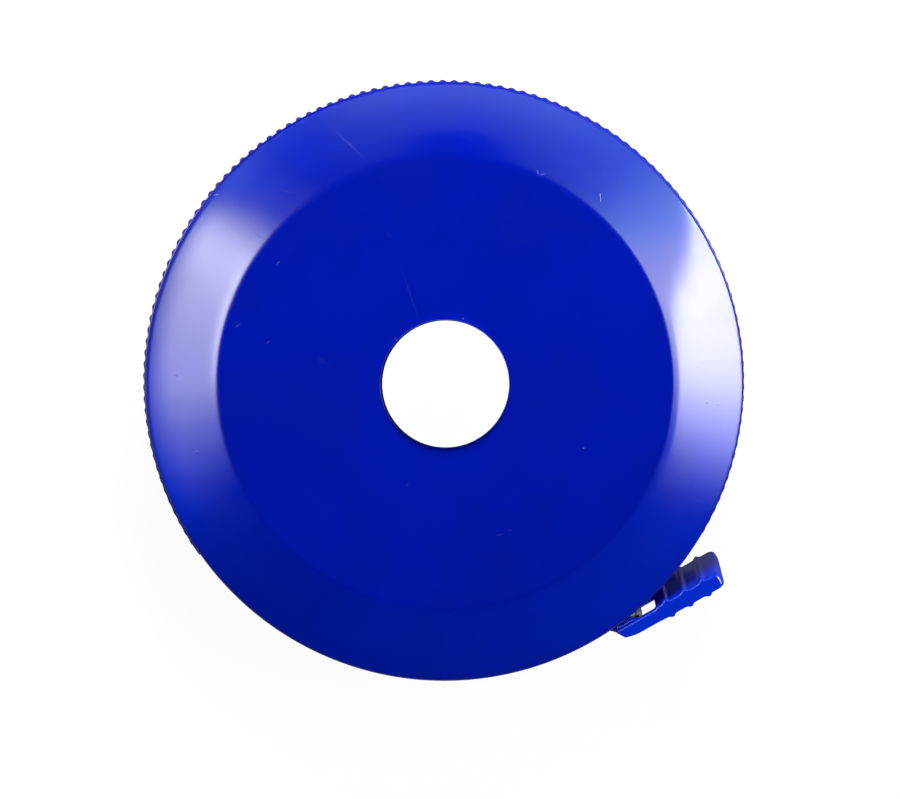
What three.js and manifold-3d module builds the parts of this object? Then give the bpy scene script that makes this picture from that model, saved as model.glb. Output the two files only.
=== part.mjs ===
// Retractable cloth tape measure: a round two-part case, a spring reel locked by a ratchet, a push
// button that frees it, and a ribbed pull tab on the tape's end loop.
// Lengths are in millimetres. The case lies on its back: the origin is the centre of the rear face,
// +Z points out of the push button, +X is right and +Y is up as seen from the front.

import * as THREE from "three";
import { mergeVertices } from "three/addons/utils/BufferGeometryUtils.js";
import Module from "manifold-3d";

const degree = Math.PI / 180;
const fullTurn = 2 * Math.PI;

// Clearances that serve the whole product
const runningGap = 0.3;
const fitGap = 0.15;
const cutOverrun = 1;
const weldDistance = 0.0001;

// Case: two round covers with flat faces, bevelled rings and lips
const caseDiameter = 50;
const caseThickness = 13;
const caseWall = 1.3;
const bevelWidth = 5.9;
const faceFillet = 0.4;
const bevelDrop = 1.8;
const bevelCrown = 0.1;
const lipRounding = 0.3;
const lipHeight = 0.4;
const rimWall = 1.3;
const bevelWallShare = 0.85;

// Ribbed rim of the rear cover
const ribSpacing = 0.97;
const ribHeight = 0.28;
const ribCrestWidth = 0.2;
const ribFootWidth = 0.5;
const ribBandStep = 0.05;
const plainBandDrop = 0.25;
const plainBandStart = 215 * degree;
const plainBandSweep = 114 * degree;

// Spigot and snap bead that hold the two covers together
const spigotDepth = 1.2;
const spigotWall = 0.95;
const beadHeight = 0.25;
const beadWidth = 0.5;
const beadBelowSeam = 0.7;

// Tape: each layer on the roll takes a little more than the tape's own thickness
const tapeThickness = 0.4;
const tapeLayer = 0.43;

// Reel, with the free room that it has at each end and round its edge
const reelEndRoom = 0.8;
const reelSideRoom = 3.28;
const flangeThickness = 0.9;
const flangeOverhang = 0.3;
const drumWall = 1;
const drumLedge = 0.6;
const retainerThickness = 0.6;
const rubRingShare = 0.785;
const rubRingWidth = 0.8;

// Post of the rear cover, and the power spring wound round it
const postDiameter = 6;
const postSlit = 0.85;
const pipDiameter = 2.4;
const pipHeight = 1.1;
const springStrip = 0.25;
const springTangLength = 1.6;
const springTurns = 7;

// Push button, and the guide ring it slides in
const buttonDiameter = 10.6;
const buttonGap = 0.175;
const buttonProud = 0.3;
const buttonTravel = 1.1;
const buttonEdge = 0.4;
const buttonSkin = 1.8;
const shoulderReach = 1.1;
const shoulderThickness = 0.8;
const holeEdge = 0.25;
const guideWall = 1;
const guideDrop = 1.6;
const keyCount = 3;
const keyWidth = 1.2;
const keyReach = 0.7;
const neckStep = 0.7;
const clipStep = 0.6;
const clipRim = 0.4;
const clipRimHeight = 0.4;
const socketWall = 1;

// Ratchet ring and pawls
const toothCount = 24;
const toothHeight = 0.8;
const toothStandOff = 0.2;
const toothBacking = 1.6;
const ringDrop = 1.1;
const pawlThickness = 0.7;
const pawlArm = 0.55;
const pawlCount = 3;
const pawlSweep = 76 * degree;
const pawlHubWall = 1.05;

// Button spring
const coilWire = 0.4;
const coilTurns = 5;

// Pull tab, with its bar's place measured along and out from the case's axis
const tabAngle = 26.5 * degree;
const tabTwist = 8.1 * degree;
const barAlong = 4.76;
const barStandOff = 0.1;
const barDiameter = 0.9;
const armThickness = 0.8;
const armInner = 0.65;
const armOuter = 0.55;
const tipInnerReach = 0.95;
const tipOuterReach = 0.45;
const tipRounding = 0.25;
const tipShoulder = 0.8;
const windowReach = 2.85;
const gripReach = 9;
const gripInner = 0.75;
const gripOuter = 0.48;
const gripTaper = 0.1;
const gripCorner = 0.4;
const gripEndRounding = 0.9;
const gripRibCount = 3;
const gripRibSpacing = 1.81;
const gripRibFirst = 3.85;
const gripRibHeight = 0.22;
const gripRibRamp = 0.5;
const gripRibStep = 0.3;

// Tape slot, its mouth and the end loop round the bar
const slotWidth = 2.4;
const slotFlare = 0.5;
const mouthWall = 1.3;
const mouthStart = -68 * degree;
const mouthSweep = 31 * degree;
const loopSlack = 0.15;
const loopNeck = 2.1;
const loopSeam = 1.2;
const twistStart = 4;

// Numbers of steps on curves
const caseSegments = 52;
const reelSegments = 36;
const roundSegments = 32;
const smallSegments = 16;
const curveSteps = 3;
const springStepsPerTurn = 16;
const coilStepsPerTurn = 10;
const coilSides = 5;
const pawlSteps = 8;
const leadSteps = 12;

const caseBlue = finish("#0318a8", 0.22, 0);
const tabBlue = finish("#0420b8", 0.28, 0);
const buttonWhite = finish("#f2f2ee", 0.35, 0);
const reelWhite = finish("#e4e2da", 0.5, 0);
const springSteel = finish("#8d9096", 0.35, 1);
const tapeCloth = finish("#eceadf", 0.8, 0);

// Worked out from the sizes above
const lipRadius = caseDiameter / 2;
const faceRadius = lipRadius - bevelWidth;
const midPlane = caseThickness / 2;
const coverDepth = bevelDrop + lipHeight;
const seam = caseThickness - coverDepth;
const rimInner = lipRadius - rimWall;
const bandSeat = lipRadius - plainBandDrop - rimWall / 3;
const frontInside = caseThickness - caseWall;
const mouthInner = rimInner - mouthWall;

const buttonRadius = buttonDiameter / 2;
const buttonTop = caseThickness + buttonProud;
const neckRadius = buttonRadius - neckStep;
const clipRadius = neckRadius - clipStep;
const socketRadius = clipRadius - socketWall;
const shoulderRadius = buttonRadius + shoulderReach;
const guideInner = shoulderRadius + runningGap;
const guideOuter = guideInner + guideWall;
const flangeBore = guideOuter + runningGap;
const toothTip = flangeBore + toothStandOff;
const toothRoot = toothTip + toothHeight;
const ringOuter = toothRoot + toothBacking;
const drumBore = ringOuter + runningGap;
const chamberRadius = drumBore - drumLedge;
const drumRadius = drumBore + drumWall;
const rollInner = drumRadius + runningGap;
const flangeRadius = mouthInner - reelSideRoom;
const rollRadius = flangeRadius - flangeOverhang;

const rearFlangeBottom = caseWall + reelEndRoom;
const rearFlangeTop = rearFlangeBottom + flangeThickness;
const frontFlangeTop = frontInside - reelEndRoom;
const frontFlangeBottom = frontFlangeTop - flangeThickness;
const tapeWidth = frontFlangeBottom - rearFlangeTop - 2 * runningGap;
const ringBottom = frontFlangeBottom - ringDrop;

const shoulderBottom = frontInside - shoulderThickness;
const pawlBottom = ringBottom + (ringDrop - pawlThickness) / 2;
const pawlTop = pawlBottom + pawlThickness;
const clipRimTop = pawlBottom - fitGap;
const buttonBottom = clipRimTop - clipRimHeight;
const retainerTop = buttonBottom - buttonTravel - runningGap;
const retainerBottom = retainerTop - retainerThickness;
const postRadius = postDiameter / 2;
const postTop = retainerTop;
const pipRadius = pipDiameter / 2;
const coilRadius = (pipRadius + socketRadius) / 2;
const socketTop = buttonTop - buttonSkin;
const springBottom = rearFlangeTop + runningGap;
const springTop = retainerBottom - runningGap;

// The tape leaves the roll along the tangent that meets the bar. Angles are about the case's axis.
const along = new THREE.Vector2(Math.cos(tabAngle), Math.sin(tabAngle));
const outward = new THREE.Vector2(along.y, -along.x);
const barPlace = along.clone().multiplyScalar(barAlong)
  .addScaledVector(outward, lipRadius + barStandOff);
const tapeLineRadius = rollRadius - tapeThickness / 2;
const barDistance = barPlace.length();
const footAngle = barPlace.angle() - Math.acos(tapeLineRadius / barDistance);
const pull = new THREE.Vector2(-Math.sin(footAngle), Math.cos(footAngle));
const footPlace = new THREE.Vector2(Math.cos(footAngle), Math.sin(footAngle))
  .multiplyScalar(tapeLineRadius);
const leadLength = barPlace.distanceTo(footPlace);

const wasm = await Module();
wasm.setup();

function finish(color, roughness, metalness) {
  return new THREE.MeshStandardMaterial({ color, roughness, metalness });
}

// A closed geometry as a solid that can be joined and cut.
function solidOf(geometry) {
  const bare = geometry.clone();
  bare.deleteAttribute("normal");
  bare.deleteAttribute("uv");
  const merged = mergeVertices(bare, weldDistance);
  const corners = merged.index.array;
  const kept = [];
  for (let i = 0; i < corners.length; i += 3) {
    const [a, b, c] = [corners[i], corners[i + 1], corners[i + 2]];
    if (a !== b && b !== c && c !== a) kept.push(a, b, c);
  }
  return new wasm.Manifold(
    new wasm.Mesh({
      numProp: 3,
      vertProperties: merged.attributes.position.array,
      triVerts: new Uint32Array(kept),
    }),
  );
}

function geometryOf(solid) {
  const mesh = solid.getMesh();
  const geometry = new THREE.BufferGeometry();
  geometry.setAttribute("position", new THREE.BufferAttribute(mesh.vertProperties, 3));
  geometry.setIndex(new THREE.BufferAttribute(mesh.triVerts, 1));
  const faceted = geometry.toNonIndexed();
  faceted.computeVertexNormals();
  return faceted;
}

function joined(...geometries) {
  return geometries.map(solidOf).reduce((all, one) => all.add(one));
}

function cutBy(solid, ...geometries) {
  return geometries.map(solidOf).reduce((left, one) => left.subtract(one), solid);
}

// Turns a profile of radius and height about the Z axis. A profile that leaves the axis closes on itself.
function revolved(profile, segments) {
  const points = profile.map((p) => p.clone());
  const closed = points[0].x > 0;
  if (closed) points.push(points[0].clone());
  if (THREE.ShapeUtils.area(points) < 0) points.reverse();
  return new THREE.LatheGeometry(points, segments).rotateX(90 * degree);
}

function corners(...pairs) {
  return pairs.map(([x, y]) => new THREE.Vector2(x, y));
}

function ring(inner, outer, bottom, top, segments) {
  return revolved(corners([inner, bottom], [outer, bottom], [outer, top], [inner, top]), segments);
}

function prism(outline, bottom, top) {
  const shape = outline instanceof THREE.Shape ? outline : new THREE.Shape(outline);
  return new THREE.ExtrudeGeometry(shape, { depth: top - bottom, bevelEnabled: false })
    .translate(0, 0, bottom);
}

function block(low, high) {
  const size = high.map((value, i) => value - low[i]);
  const centre = high.map((value, i) => (value + low[i]) / 2);
  return new THREE.BoxGeometry(...size).translate(...centre);
}

function polar(radius, angle) {
  return new THREE.Vector2(radius * Math.cos(angle), radius * Math.sin(angle));
}

function arc(radius, start, sweep, steps) {
  return Array.from({ length: steps + 1 }, (_, i) => polar(radius, start + (sweep * i) / steps));
}

function sector(inner, outer, start, sweep, steps) {
  return [...arc(outer, start, sweep, steps), ...arc(inner, start + sweep, -sweep, steps)];
}

function turned(geometry, angle) {
  return geometry.clone().rotateZ(angle);
}

// Repeats a geometry evenly round the Z axis.
function around(geometry, count, start = 0) {
  return Array.from({ length: count }, (_, i) => turned(geometry, start + (fullTurn * i) / count));
}

// Outline of a strip that follows a centre line, with square ends.
function stripOutline(centreLine, thickness) {
  const sides = [[], []];
  centreLine.forEach((point, i) => {
    const before = centreLine[Math.max(i - 1, 0)];
    const after = centreLine[Math.min(i + 1, centreLine.length - 1)];
    const arriving = point.clone().sub(before).normalize();
    const leaving = after.clone().sub(point).normalize();
    const run = arriving.clone().add(leaving).normalize();
    const side = new THREE.Vector2(-run.y, run.x);
    const reference = i > 0 ? arriving : leaving;
    const stretch = thickness / 2 / Math.abs(side.dot(new THREE.Vector2(-reference.y, reference.x)));
    sides[0].push(point.clone().addScaledVector(side, stretch));
    sides[1].push(point.clone().addScaledVector(side, -stretch));
  });
  return [...sides[1], ...sides[0].reverse()];
}

// Outer skin of a cover from its flat face to its lip, with heights counted in from the face.
function coverSkin(path) {
  const slope = bevelDrop / (lipRadius - faceRadius);
  const bevelStart = new THREE.Vector2(faceRadius + faceFillet, slope * faceFillet);
  const bevelEnd = new THREE.Vector2(lipRadius - lipRounding, bevelDrop - slope * lipRounding);
  const crown = bevelStart.clone().lerp(bevelEnd, 0.5)
    .add(new THREE.Vector2(slope, -1).normalize().multiplyScalar(2 * bevelCrown));
  path.lineTo(faceRadius - faceFillet, 0);
  path.quadraticCurveTo(faceRadius, 0, bevelStart.x, bevelStart.y);
  path.quadraticCurveTo(crown.x, crown.y, bevelEnd.x, bevelEnd.y);
  path.quadraticCurveTo(lipRadius, bevelDrop, lipRadius, bevelDrop + lipRounding);
  path.lineTo(lipRadius, coverDepth);
}

// Inside height of a cover's bevelled ring at a radius.
function insideHeight(radius) {
  const slope = bevelDrop / (lipRadius - faceRadius);
  return caseWall + Math.max(radius - faceRadius, 0) * slope * bevelWallShare;
}

function rubRing(path, reelFace) {
  const middle = flangeRadius * rubRingShare;
  const outer = middle + rubRingWidth / 2;
  const inner = middle - rubRingWidth / 2;
  path.lineTo(outer, caseWall);
  path.lineTo(outer, reelFace - runningGap);
  path.lineTo(inner, reelFace - runningGap);
  path.lineTo(inner, caseWall);
}

// The ribbed band is drawn as one outline: ribs all round but for the plain stretch by the tape slot.
function ribbedBand() {
  const valley = lipRadius + ribBandStep;
  const crest = valley + ribHeight;
  const plain = lipRadius - plainBandDrop;
  const ribsPerTurn = Math.round((2 * Math.PI * valley) / ribSpacing);
  const pitch = fullTurn / ribsPerTurn;
  const start = plainBandStart + plainBandSweep;
  const ribCount = Math.floor((fullTurn - plainBandSweep) / pitch);
  const foot = ribFootWidth / 2 / valley;
  const top = ribCrestWidth / 2 / crest;
  const outline = [polar(valley, start)];
  for (let i = 0; i < ribCount; i++) {
    const middle = start + pitch * (i + 0.5);
    outline.push(polar(valley, middle - foot));
    outline.push(polar(crest, middle - top));
    outline.push(polar(crest, middle + top));
    outline.push(polar(valley, middle + foot));
  }
  outline.push(polar(valley, start + pitch * ribCount));
  outline.push(...arc(plain, plainBandStart, plainBandSweep, Math.round(caseSegments / 3)));
  const shape = new THREE.Shape(outline);
  shape.holes.push(new THREE.Path(arc(bandSeat, 0, fullTurn, caseSegments).slice(1)));
  return prism(shape, coverDepth, seam);
}

// Centre of the bar, turned with the twist that the tape has where it leaves the slot.
function twistedFrame() {
  const axis = new THREE.Vector3(pull.x, pull.y, 0);
  const turn = new THREE.Quaternion().setFromAxisAngle(axis, tabTwist);
  const place = new THREE.Vector3(barPlace.x, barPlace.y, midPlane);
  return new THREE.Matrix4().compose(place, turn, new THREE.Vector3(1, 1, 1));
}

const tabDepth = tapeWidth + 2 * runningGap + 2 * armThickness;
const tipSwing = Math.hypot(tipInnerReach, armInner);

// Room in the rim for the tab's arms: they lie in it at rest, and their tips turn in it.
function tabNest() {
  const half = tabDepth / 2 + runningGap;
  const roomReach = gripRibFirst + gripRibStep + runningGap;
  const swing = new THREE.CylinderGeometry(
    tipSwing + runningGap, tipSwing + runningGap, 2 * half, roundSegments,
  ).rotateX(90 * degree);
  const room = block([0, -tipSwing - cutOverrun, -half], [roomReach, gripInner + runningGap, half]);
  const rest = turned(room, tabAngle);
  return [swing, rest].map((geometry) => geometry.applyMatrix4(twistedFrame()));
}

// The slot runs along the tape, and flares towards the reel and at its mouth.
function tapeSlot() {
  const half = slotWidth / 2;
  const reach = (radius, side = 0) => Math.sqrt(radius ** 2 - (tapeLineRadius + side) ** 2);
  const inside = reach(mouthInner - cutOverrun, half + slotFlare);
  const neck = reach(mouthInner + mouthWall / 2);
  const mouth = reach(rimInner);
  const outside = reach(lipRadius + cutOverrun);
  const outline = corners(
    [inside, -half - slotFlare], [neck, -half], [mouth, -half], [outside, -half - slotFlare],
    [outside, half + slotFlare], [mouth, half], [neck, half], [inside, half + slotFlare],
  );
  return prism(outline, rearFlangeTop, frontFlangeBottom)
    .rotateZ(pull.angle())
    .translate(footPlace.x, footPlace.y, 0);
}

function rearCover() {
  const path = new THREE.Path();
  path.moveTo(0, 0);
  coverSkin(path);
  path.lineTo(bandSeat + fitGap, coverDepth);
  path.lineTo(bandSeat + fitGap, seam);
  path.lineTo(rimInner, seam);
  const groove = seam - beadBelowSeam;
  path.lineTo(rimInner, groove + beadWidth / 2 + fitGap);
  path.lineTo(rimInner + beadHeight, groove + fitGap / 2);
  path.lineTo(rimInner + beadHeight, groove - fitGap / 2);
  path.lineTo(rimInner, groove - beadWidth / 2 - fitGap);
  path.lineTo(rimInner, insideHeight(rimInner));
  path.lineTo(faceRadius, caseWall);
  rubRing(path, rearFlangeBottom);
  path.lineTo(postRadius, caseWall);
  path.lineTo(postRadius, postTop);
  path.lineTo(pipRadius, postTop);
  path.lineTo(pipRadius, postTop + pipHeight);
  path.lineTo(0, postTop + pipHeight);
  const shell = revolved(path.getPoints(curveSteps), caseSegments);
  const mouthSteps = Math.round((caseSegments * mouthSweep) / fullTurn);
  const mouthOutline = sector(
    mouthInner, rimInner + rimWall / 3, mouthStart, mouthSweep, mouthSteps,
  );
  const mouthBlock = prism(mouthOutline, caseWall, seam);
  const slit = block(
    [-postSlit / 2, -postRadius - cutOverrun, springBottom - runningGap],
    [postSlit / 2, 0, postTop + pipHeight + cutOverrun],
  );
  return cutBy(joined(shell, ribbedBand(), mouthBlock), tapeSlot(), slit, ...tabNest());
}

function frontCover() {
  const holeRadius = buttonRadius + buttonGap;
  const path = new THREE.Path();
  path.moveTo(holeRadius, caseWall);
  path.lineTo(holeRadius, holeEdge);
  path.quadraticCurveTo(holeRadius, 0, holeRadius + holeEdge, 0);
  coverSkin(path);
  const spigotOuter = rimInner - fitGap;
  const spigotInner = spigotOuter - spigotWall;
  const bead = coverDepth + beadBelowSeam;
  path.lineTo(spigotOuter, coverDepth);
  path.lineTo(spigotOuter, bead - beadWidth / 2);
  path.lineTo(spigotOuter + beadHeight, bead);
  path.lineTo(spigotOuter, bead + beadWidth / 2);
  path.lineTo(spigotOuter, coverDepth + spigotDepth);
  path.lineTo(spigotInner, coverDepth + spigotDepth);
  path.lineTo(spigotInner, insideHeight(spigotInner));
  path.lineTo(faceRadius, caseWall);
  rubRing(path, caseThickness - frontFlangeTop);
  path.lineTo(guideOuter, caseWall);
  path.lineTo(guideOuter, caseWall + guideDrop);
  path.lineTo(guideInner, caseWall + guideDrop);
  path.lineTo(guideInner, caseWall);
  const mirrored = path.getPoints(curveSteps)
    .map((p) => new THREE.Vector2(p.x, caseThickness - p.y));
  const shell = revolved(mirrored, caseSegments);
  const key = block(
    [guideInner - keyReach, -keyWidth / 2, frontInside - guideDrop],
    [guideInner + guideWall / 2, keyWidth / 2, frontInside + caseWall / 2],
  );
  const mouthRoom = prism(
    sector(
      mouthInner - cutOverrun, rimInner + beadHeight,
      mouthStart - runningGap / mouthInner, mouthSweep + (2 * runningGap) / mouthInner,
      roundSegments,
    ),
    seam - spigotDepth - cutOverrun,
    seam,
  );
  return cutBy(joined(shell, ...around(key, keyCount)), mouthRoom);
}

function pushButton() {
  const path = new THREE.Path();
  path.moveTo(0, socketTop);
  path.lineTo(socketRadius, socketTop);
  path.lineTo(socketRadius, buttonBottom);
  path.lineTo(clipRadius, buttonBottom);
  path.lineTo(clipRadius + clipRim, buttonBottom + clipRimHeight / 2);
  path.lineTo(clipRadius + clipRim, clipRimTop);
  path.lineTo(clipRadius, clipRimTop);
  path.lineTo(clipRadius, pawlTop);
  path.lineTo(neckRadius, pawlTop);
  path.lineTo(neckRadius, shoulderBottom);
  path.lineTo(shoulderRadius, shoulderBottom);
  path.lineTo(shoulderRadius, frontInside);
  path.lineTo(buttonRadius, frontInside);
  path.lineTo(buttonRadius, buttonTop - buttonEdge);
  path.quadraticCurveTo(buttonRadius, buttonTop, buttonRadius - buttonEdge, buttonTop);
  path.lineTo(0, buttonTop);
  const notch = block(
    [guideInner - keyReach - runningGap, -keyWidth / 2 - runningGap, shoulderBottom - cutOverrun],
    [shoulderRadius + cutOverrun, keyWidth / 2 + runningGap, frontInside],
  );
  return cutBy(joined(revolved(path.getPoints(curveSteps), reelSegments)), ...around(notch, keyCount));
}

// Ratchet angle where each tooth's steep face stands; the ring turns towards +Z as tape is pulled out.
const toothPitch = fullTurn / toothCount;

function ratchetOutline() {
  const outline = [];
  for (let i = 0; i < toothCount; i++) {
    outline.push(polar(toothRoot, toothPitch * i));
    outline.push(polar(toothTip, toothPitch * i));
    outline.push(polar((toothTip + toothRoot) / 2, toothPitch * (i + 0.5)));
  }
  return outline;
}

function reelFrontFlange() {
  const flange = ring(flangeBore, flangeRadius, frontFlangeBottom, frontFlangeTop, caseSegments);
  const toothRing = ring(flangeBore, ringOuter, ringBottom, frontFlangeBottom, reelSegments);
  const toothSpace = prism(ratchetOutline(), ringBottom - cutOverrun, frontFlangeBottom);
  return cutBy(joined(flange, toothRing), toothSpace);
}

// One springy arm: it leaves the hub and ends in a tip that stands in a tooth space.
function pawlArmOutline() {
  const end = toothPitch - runningGap / toothTip;
  const start = end - pawlSweep;
  const hub = clipRadius + fitGap + pawlHubWall - pawlArm;
  const reach = toothTip - runningGap;
  const outer = [];
  const inner = [];
  for (let i = 0; i <= pawlSteps; i++) {
    const t = i / pawlSteps;
    const angle = start + (pawlSweep - toothPitch / 2) * t;
    const radius = hub + pawlArm + (reach - hub - pawlArm) * Math.sin((t * Math.PI) / 2);
    outer.push(polar(radius, angle));
    inner.push(polar(radius - pawlArm, angle));
  }
  outer.push(polar(toothRoot - runningGap, end));
  inner.push(polar(reach - pawlArm, end));
  return [...outer, ...inner.reverse()];
}

function pawlDisc() {
  const hole = clipRadius + fitGap;
  const hub = ring(hole, hole + pawlHubWall, pawlBottom, pawlTop, roundSegments);
  const arm = prism(pawlArmOutline(), pawlBottom, pawlTop);
  return joined(hub, ...around(arm, pawlCount));
}

function buttonSpring() {
  const low = postTop + coilWire / 2 + fitGap;
  const high = socketTop - coilWire / 2 - fitGap;
  class Helix extends THREE.Curve {
    getPoint(t, target = new THREE.Vector3()) {
      const place = polar(coilRadius, fullTurn * coilTurns * t);
      return target.set(place.x, place.y, low + (high - low) * t);
    }
  }
  const wire = new THREE.Shape(arc(coilWire / 2, 0, fullTurn, coilSides).slice(1));
  return new THREE.ExtrudeGeometry(wire, {
    extrudePath: new Helix(), steps: coilTurns * coilStepsPerTurn, bevelEnabled: false,
  });
}

// The spring's outer end hooks through this cut in the drum.
function springCut(width) {
  return block(
    [-width / 2, chamberRadius - cutOverrun, springBottom - runningGap],
    [width / 2, drumRadius - drumWall / 3, springTop + runningGap],
  );
}

function reelDrum() {
  const profile = corners(
    [postRadius + runningGap, rearFlangeBottom], [flangeRadius, rearFlangeBottom],
    [flangeRadius, rearFlangeTop], [drumRadius, rearFlangeTop],
    [drumRadius, frontFlangeBottom], [drumBore, frontFlangeBottom],
    [drumBore, retainerBottom], [chamberRadius, retainerBottom],
    [chamberRadius, rearFlangeTop], [postRadius + runningGap, rearFlangeTop],
  );
  return cutBy(joined(revolved(profile, caseSegments)), springCut(postSlit));
}

function springRetainer() {
  return ring(
    postRadius + runningGap, drumBore - fitGap, retainerBottom, retainerTop, reelSegments,
  );
}

function powerSpring() {
  const inner = postRadius + runningGap + springStrip / 2;
  const outer = chamberRadius - runningGap - springStrip / 2;
  const start = -90 * degree;
  const sweep = fullTurn * (springTurns + 0.5);
  const steps = Math.round(springStepsPerTurn * (springTurns + 0.5));
  const line = [polar(postRadius - springTangLength, start)];
  for (let i = 0; i <= steps; i++) {
    line.push(polar(inner + ((outer - inner) * i) / steps, start + (sweep * i) / steps));
  }
  line.push(polar(drumRadius - drumWall / 3 - runningGap, start + sweep));
  return prism(stripOutline(line, springStrip), springBottom, springTop);
}

// The roll's outermost turn is drawn as a true spiral that ends where the lead leaves it.
function tapeRoll() {
  const outline = Array.from({ length: caseSegments + 1 }, (_, i) => {
    const back = 1 - i / caseSegments;
    return polar(rollRadius - tapeLayer * back, footAngle - fullTurn * back);
  });
  const shape = new THREE.Shape(outline);
  shape.holes.push(new THREE.Path(arc(rollInner, 0, fullTurn, caseSegments).slice(1)));
  return prism(shape, midPlane - tapeWidth / 2, midPlane + tapeWidth / 2);
}

// Straight lead from the roll to the end loop, twisted on its way so that it meets the leaning tab.
function tapeLead() {
  const end = leadLength - loopNeck - loopSeam - runningGap;
  const positions = [];
  const triangles = [];
  for (let i = 0; i <= leadSteps; i++) {
    const travel = runningGap + ((end - runningGap) * i) / leadSteps;
    const share = Math.max(0, (travel - twistStart) / (end - twistStart));
    const twist = tabTwist * share;
    [[-1, -1], [1, -1], [1, 1], [-1, 1]].forEach(([across, up]) => {
      const y = (across * tapeThickness) / 2;
      const z = (up * tapeWidth) / 2;
      positions.push(travel);
      positions.push(y * Math.cos(twist) - z * Math.sin(twist));
      positions.push(y * Math.sin(twist) + z * Math.cos(twist));
    });
  }
  for (let i = 0; i < leadSteps; i++) {
    for (let k = 0; k < 4; k++) {
      const [a, b] = [4 * i + k, 4 * i + ((k + 1) % 4)];
      triangles.push(a, a + 4, b, b, a + 4, b + 4);
    }
  }
  const last = 4 * leadSteps;
  triangles.push(0, 1, 2, 0, 2, 3, last, last + 2, last + 1, last, last + 3, last + 2);
  const geometry = new THREE.BufferGeometry();
  geometry.setAttribute("position", new THREE.Float32BufferAttribute(positions, 3));
  geometry.setIndex(triangles.reverse());
  return geometry.rotateZ(pull.angle()).translate(footPlace.x, footPlace.y, midPlane);
}

// The tape's end is folded round the bar and stuck to itself: a teardrop loop with a double tail.
// Its own frame has the bar at the origin and the pull direction along +X.
function teardrop(radius, halfNeck, neck) {
  const lean = Math.atan2(radius - halfNeck, neck);
  const sweep = 180 * degree + 2 * lean;
  return arc(radius, -sweep / 2, sweep, smallSegments);
}

function tapeEndLoop() {
  const inner = barDiameter / 2 + loopSlack;
  const outline = [
    ...teardrop(inner + tapeThickness, tapeThickness, loopNeck),
    ...corners(
      [-loopNeck, tapeThickness], [-loopNeck - loopSeam, tapeThickness],
      [-loopNeck - loopSeam, -tapeThickness], [-loopNeck, -tapeThickness],
    ),
  ];
  const shape = new THREE.Shape(outline);
  shape.holes.push(new THREE.Path([...teardrop(inner, 0, loopNeck), ...corners([-loopNeck, 0])]));
  return prism(shape, -tapeWidth / 2, tapeWidth / 2);
}

// Side outline of the pull tab with the bar at the origin, +X towards the grip's end, +Y to the case.
function tabOutline() {
  const path = new THREE.Shape();
  const ribStart = (i) => gripRibFirst + gripRibSpacing * i;
  const taper = (x) => (gripTaper * Math.max(x - windowReach, 0)) / (gripReach - windowReach);
  path.moveTo(-tipOuterReach, -armOuter + gripTaper);
  path.quadraticCurveTo(tipShoulder / 2, -armOuter, tipShoulder, -armOuter);
  path.lineTo(windowReach, -armOuter);
  for (let i = 0; i < gripRibCount; i++) {
    const x = ribStart(i);
    path.lineTo(x - gripRibRamp, -gripOuter + taper(x));
    path.lineTo(x, -gripOuter - gripRibHeight + taper(x));
    path.lineTo(x + gripRibStep, -gripOuter + taper(x));
  }
  const outerEnd = -gripOuter + gripTaper;
  path.lineTo(gripReach - gripCorner, outerEnd);
  path.quadraticCurveTo(gripReach, outerEnd, gripReach, outerEnd + gripCorner);
  path.lineTo(gripReach, gripInner - gripCorner);
  path.quadraticCurveTo(gripReach, gripInner, gripReach - gripCorner, gripInner);
  for (let i = gripRibCount - 1; i >= 0; i--) {
    const x = ribStart(i);
    path.lineTo(x + gripRibStep, gripInner);
    path.lineTo(x, gripInner + gripRibHeight);
    path.lineTo(x - gripRibRamp, gripInner);
  }
  path.lineTo(windowReach, armInner);
  path.lineTo(-tipInnerReach + tipRounding, armInner);
  path.quadraticCurveTo(-tipInnerReach, armInner, -tipInnerReach + tipRounding / 2, armInner - tipRounding);
  return path;
}

function pullTab() {
  const body = new THREE.ExtrudeGeometry(tabOutline(), {
    depth: tabDepth, bevelEnabled: false, curveSegments: curveSteps,
  }).translate(0, 0, -tabDepth / 2);
  const windowHalf = tabDepth / 2 - armThickness;
  const windowCut = block(
    [-tipInnerReach - cutOverrun, -gripReach, -windowHalf],
    [windowReach, gripReach, windowHalf],
  );
  const bar = new THREE.CylinderGeometry(
    barDiameter / 2, barDiameter / 2, tabDepth - armThickness, smallSegments,
  ).rotateX(90 * degree);
  const rounded = joined(body).intersect(solidOf(tabPlan()));
  return cutBy(rounded, windowCut).add(solidOf(bar));
}

// The grip's two end corners are rounded when the tab is seen along its thickness.
function tabPlan() {
  const side = tabDepth / 2;
  const back = -tipInnerReach - cutOverrun;
  const plan = new THREE.Shape();
  plan.moveTo(back, -side);
  plan.lineTo(gripReach - gripEndRounding, -side);
  plan.absarc(gripReach - gripEndRounding, gripEndRounding - side, gripEndRounding, -90 * degree, 0);
  plan.absarc(gripReach - gripEndRounding, side - gripEndRounding, gripEndRounding, 0, 90 * degree);
  plan.lineTo(back, side);
  return new THREE.ExtrudeGeometry(plan, {
    depth: 2 * gripReach, bevelEnabled: false, curveSegments: 2 * curveSteps,
  }).translate(0, 0, -gripReach).rotateX(90 * degree);
}

// Assembly
function piece(name, shape, material) {
  const geometry = shape instanceof THREE.BufferGeometry ? shape : geometryOf(shape);
  const mesh = new THREE.Mesh(geometry, material);
  mesh.name = name;
  return mesh;
}

const tapeMeasure = new THREE.Group();
tapeMeasure.add(piece("rear_cover", rearCover(), caseBlue));
tapeMeasure.add(piece("front_cover", frontCover(), caseBlue));

const buttonGroup = new THREE.Group();
buttonGroup.add(piece("push_button", pushButton(), buttonWhite));
buttonGroup.add(piece("pawl_disc", pawlDisc(), reelWhite));
tapeMeasure.add(buttonGroup);
tapeMeasure.add(piece("button_spring", buttonSpring(), springSteel));

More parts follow.
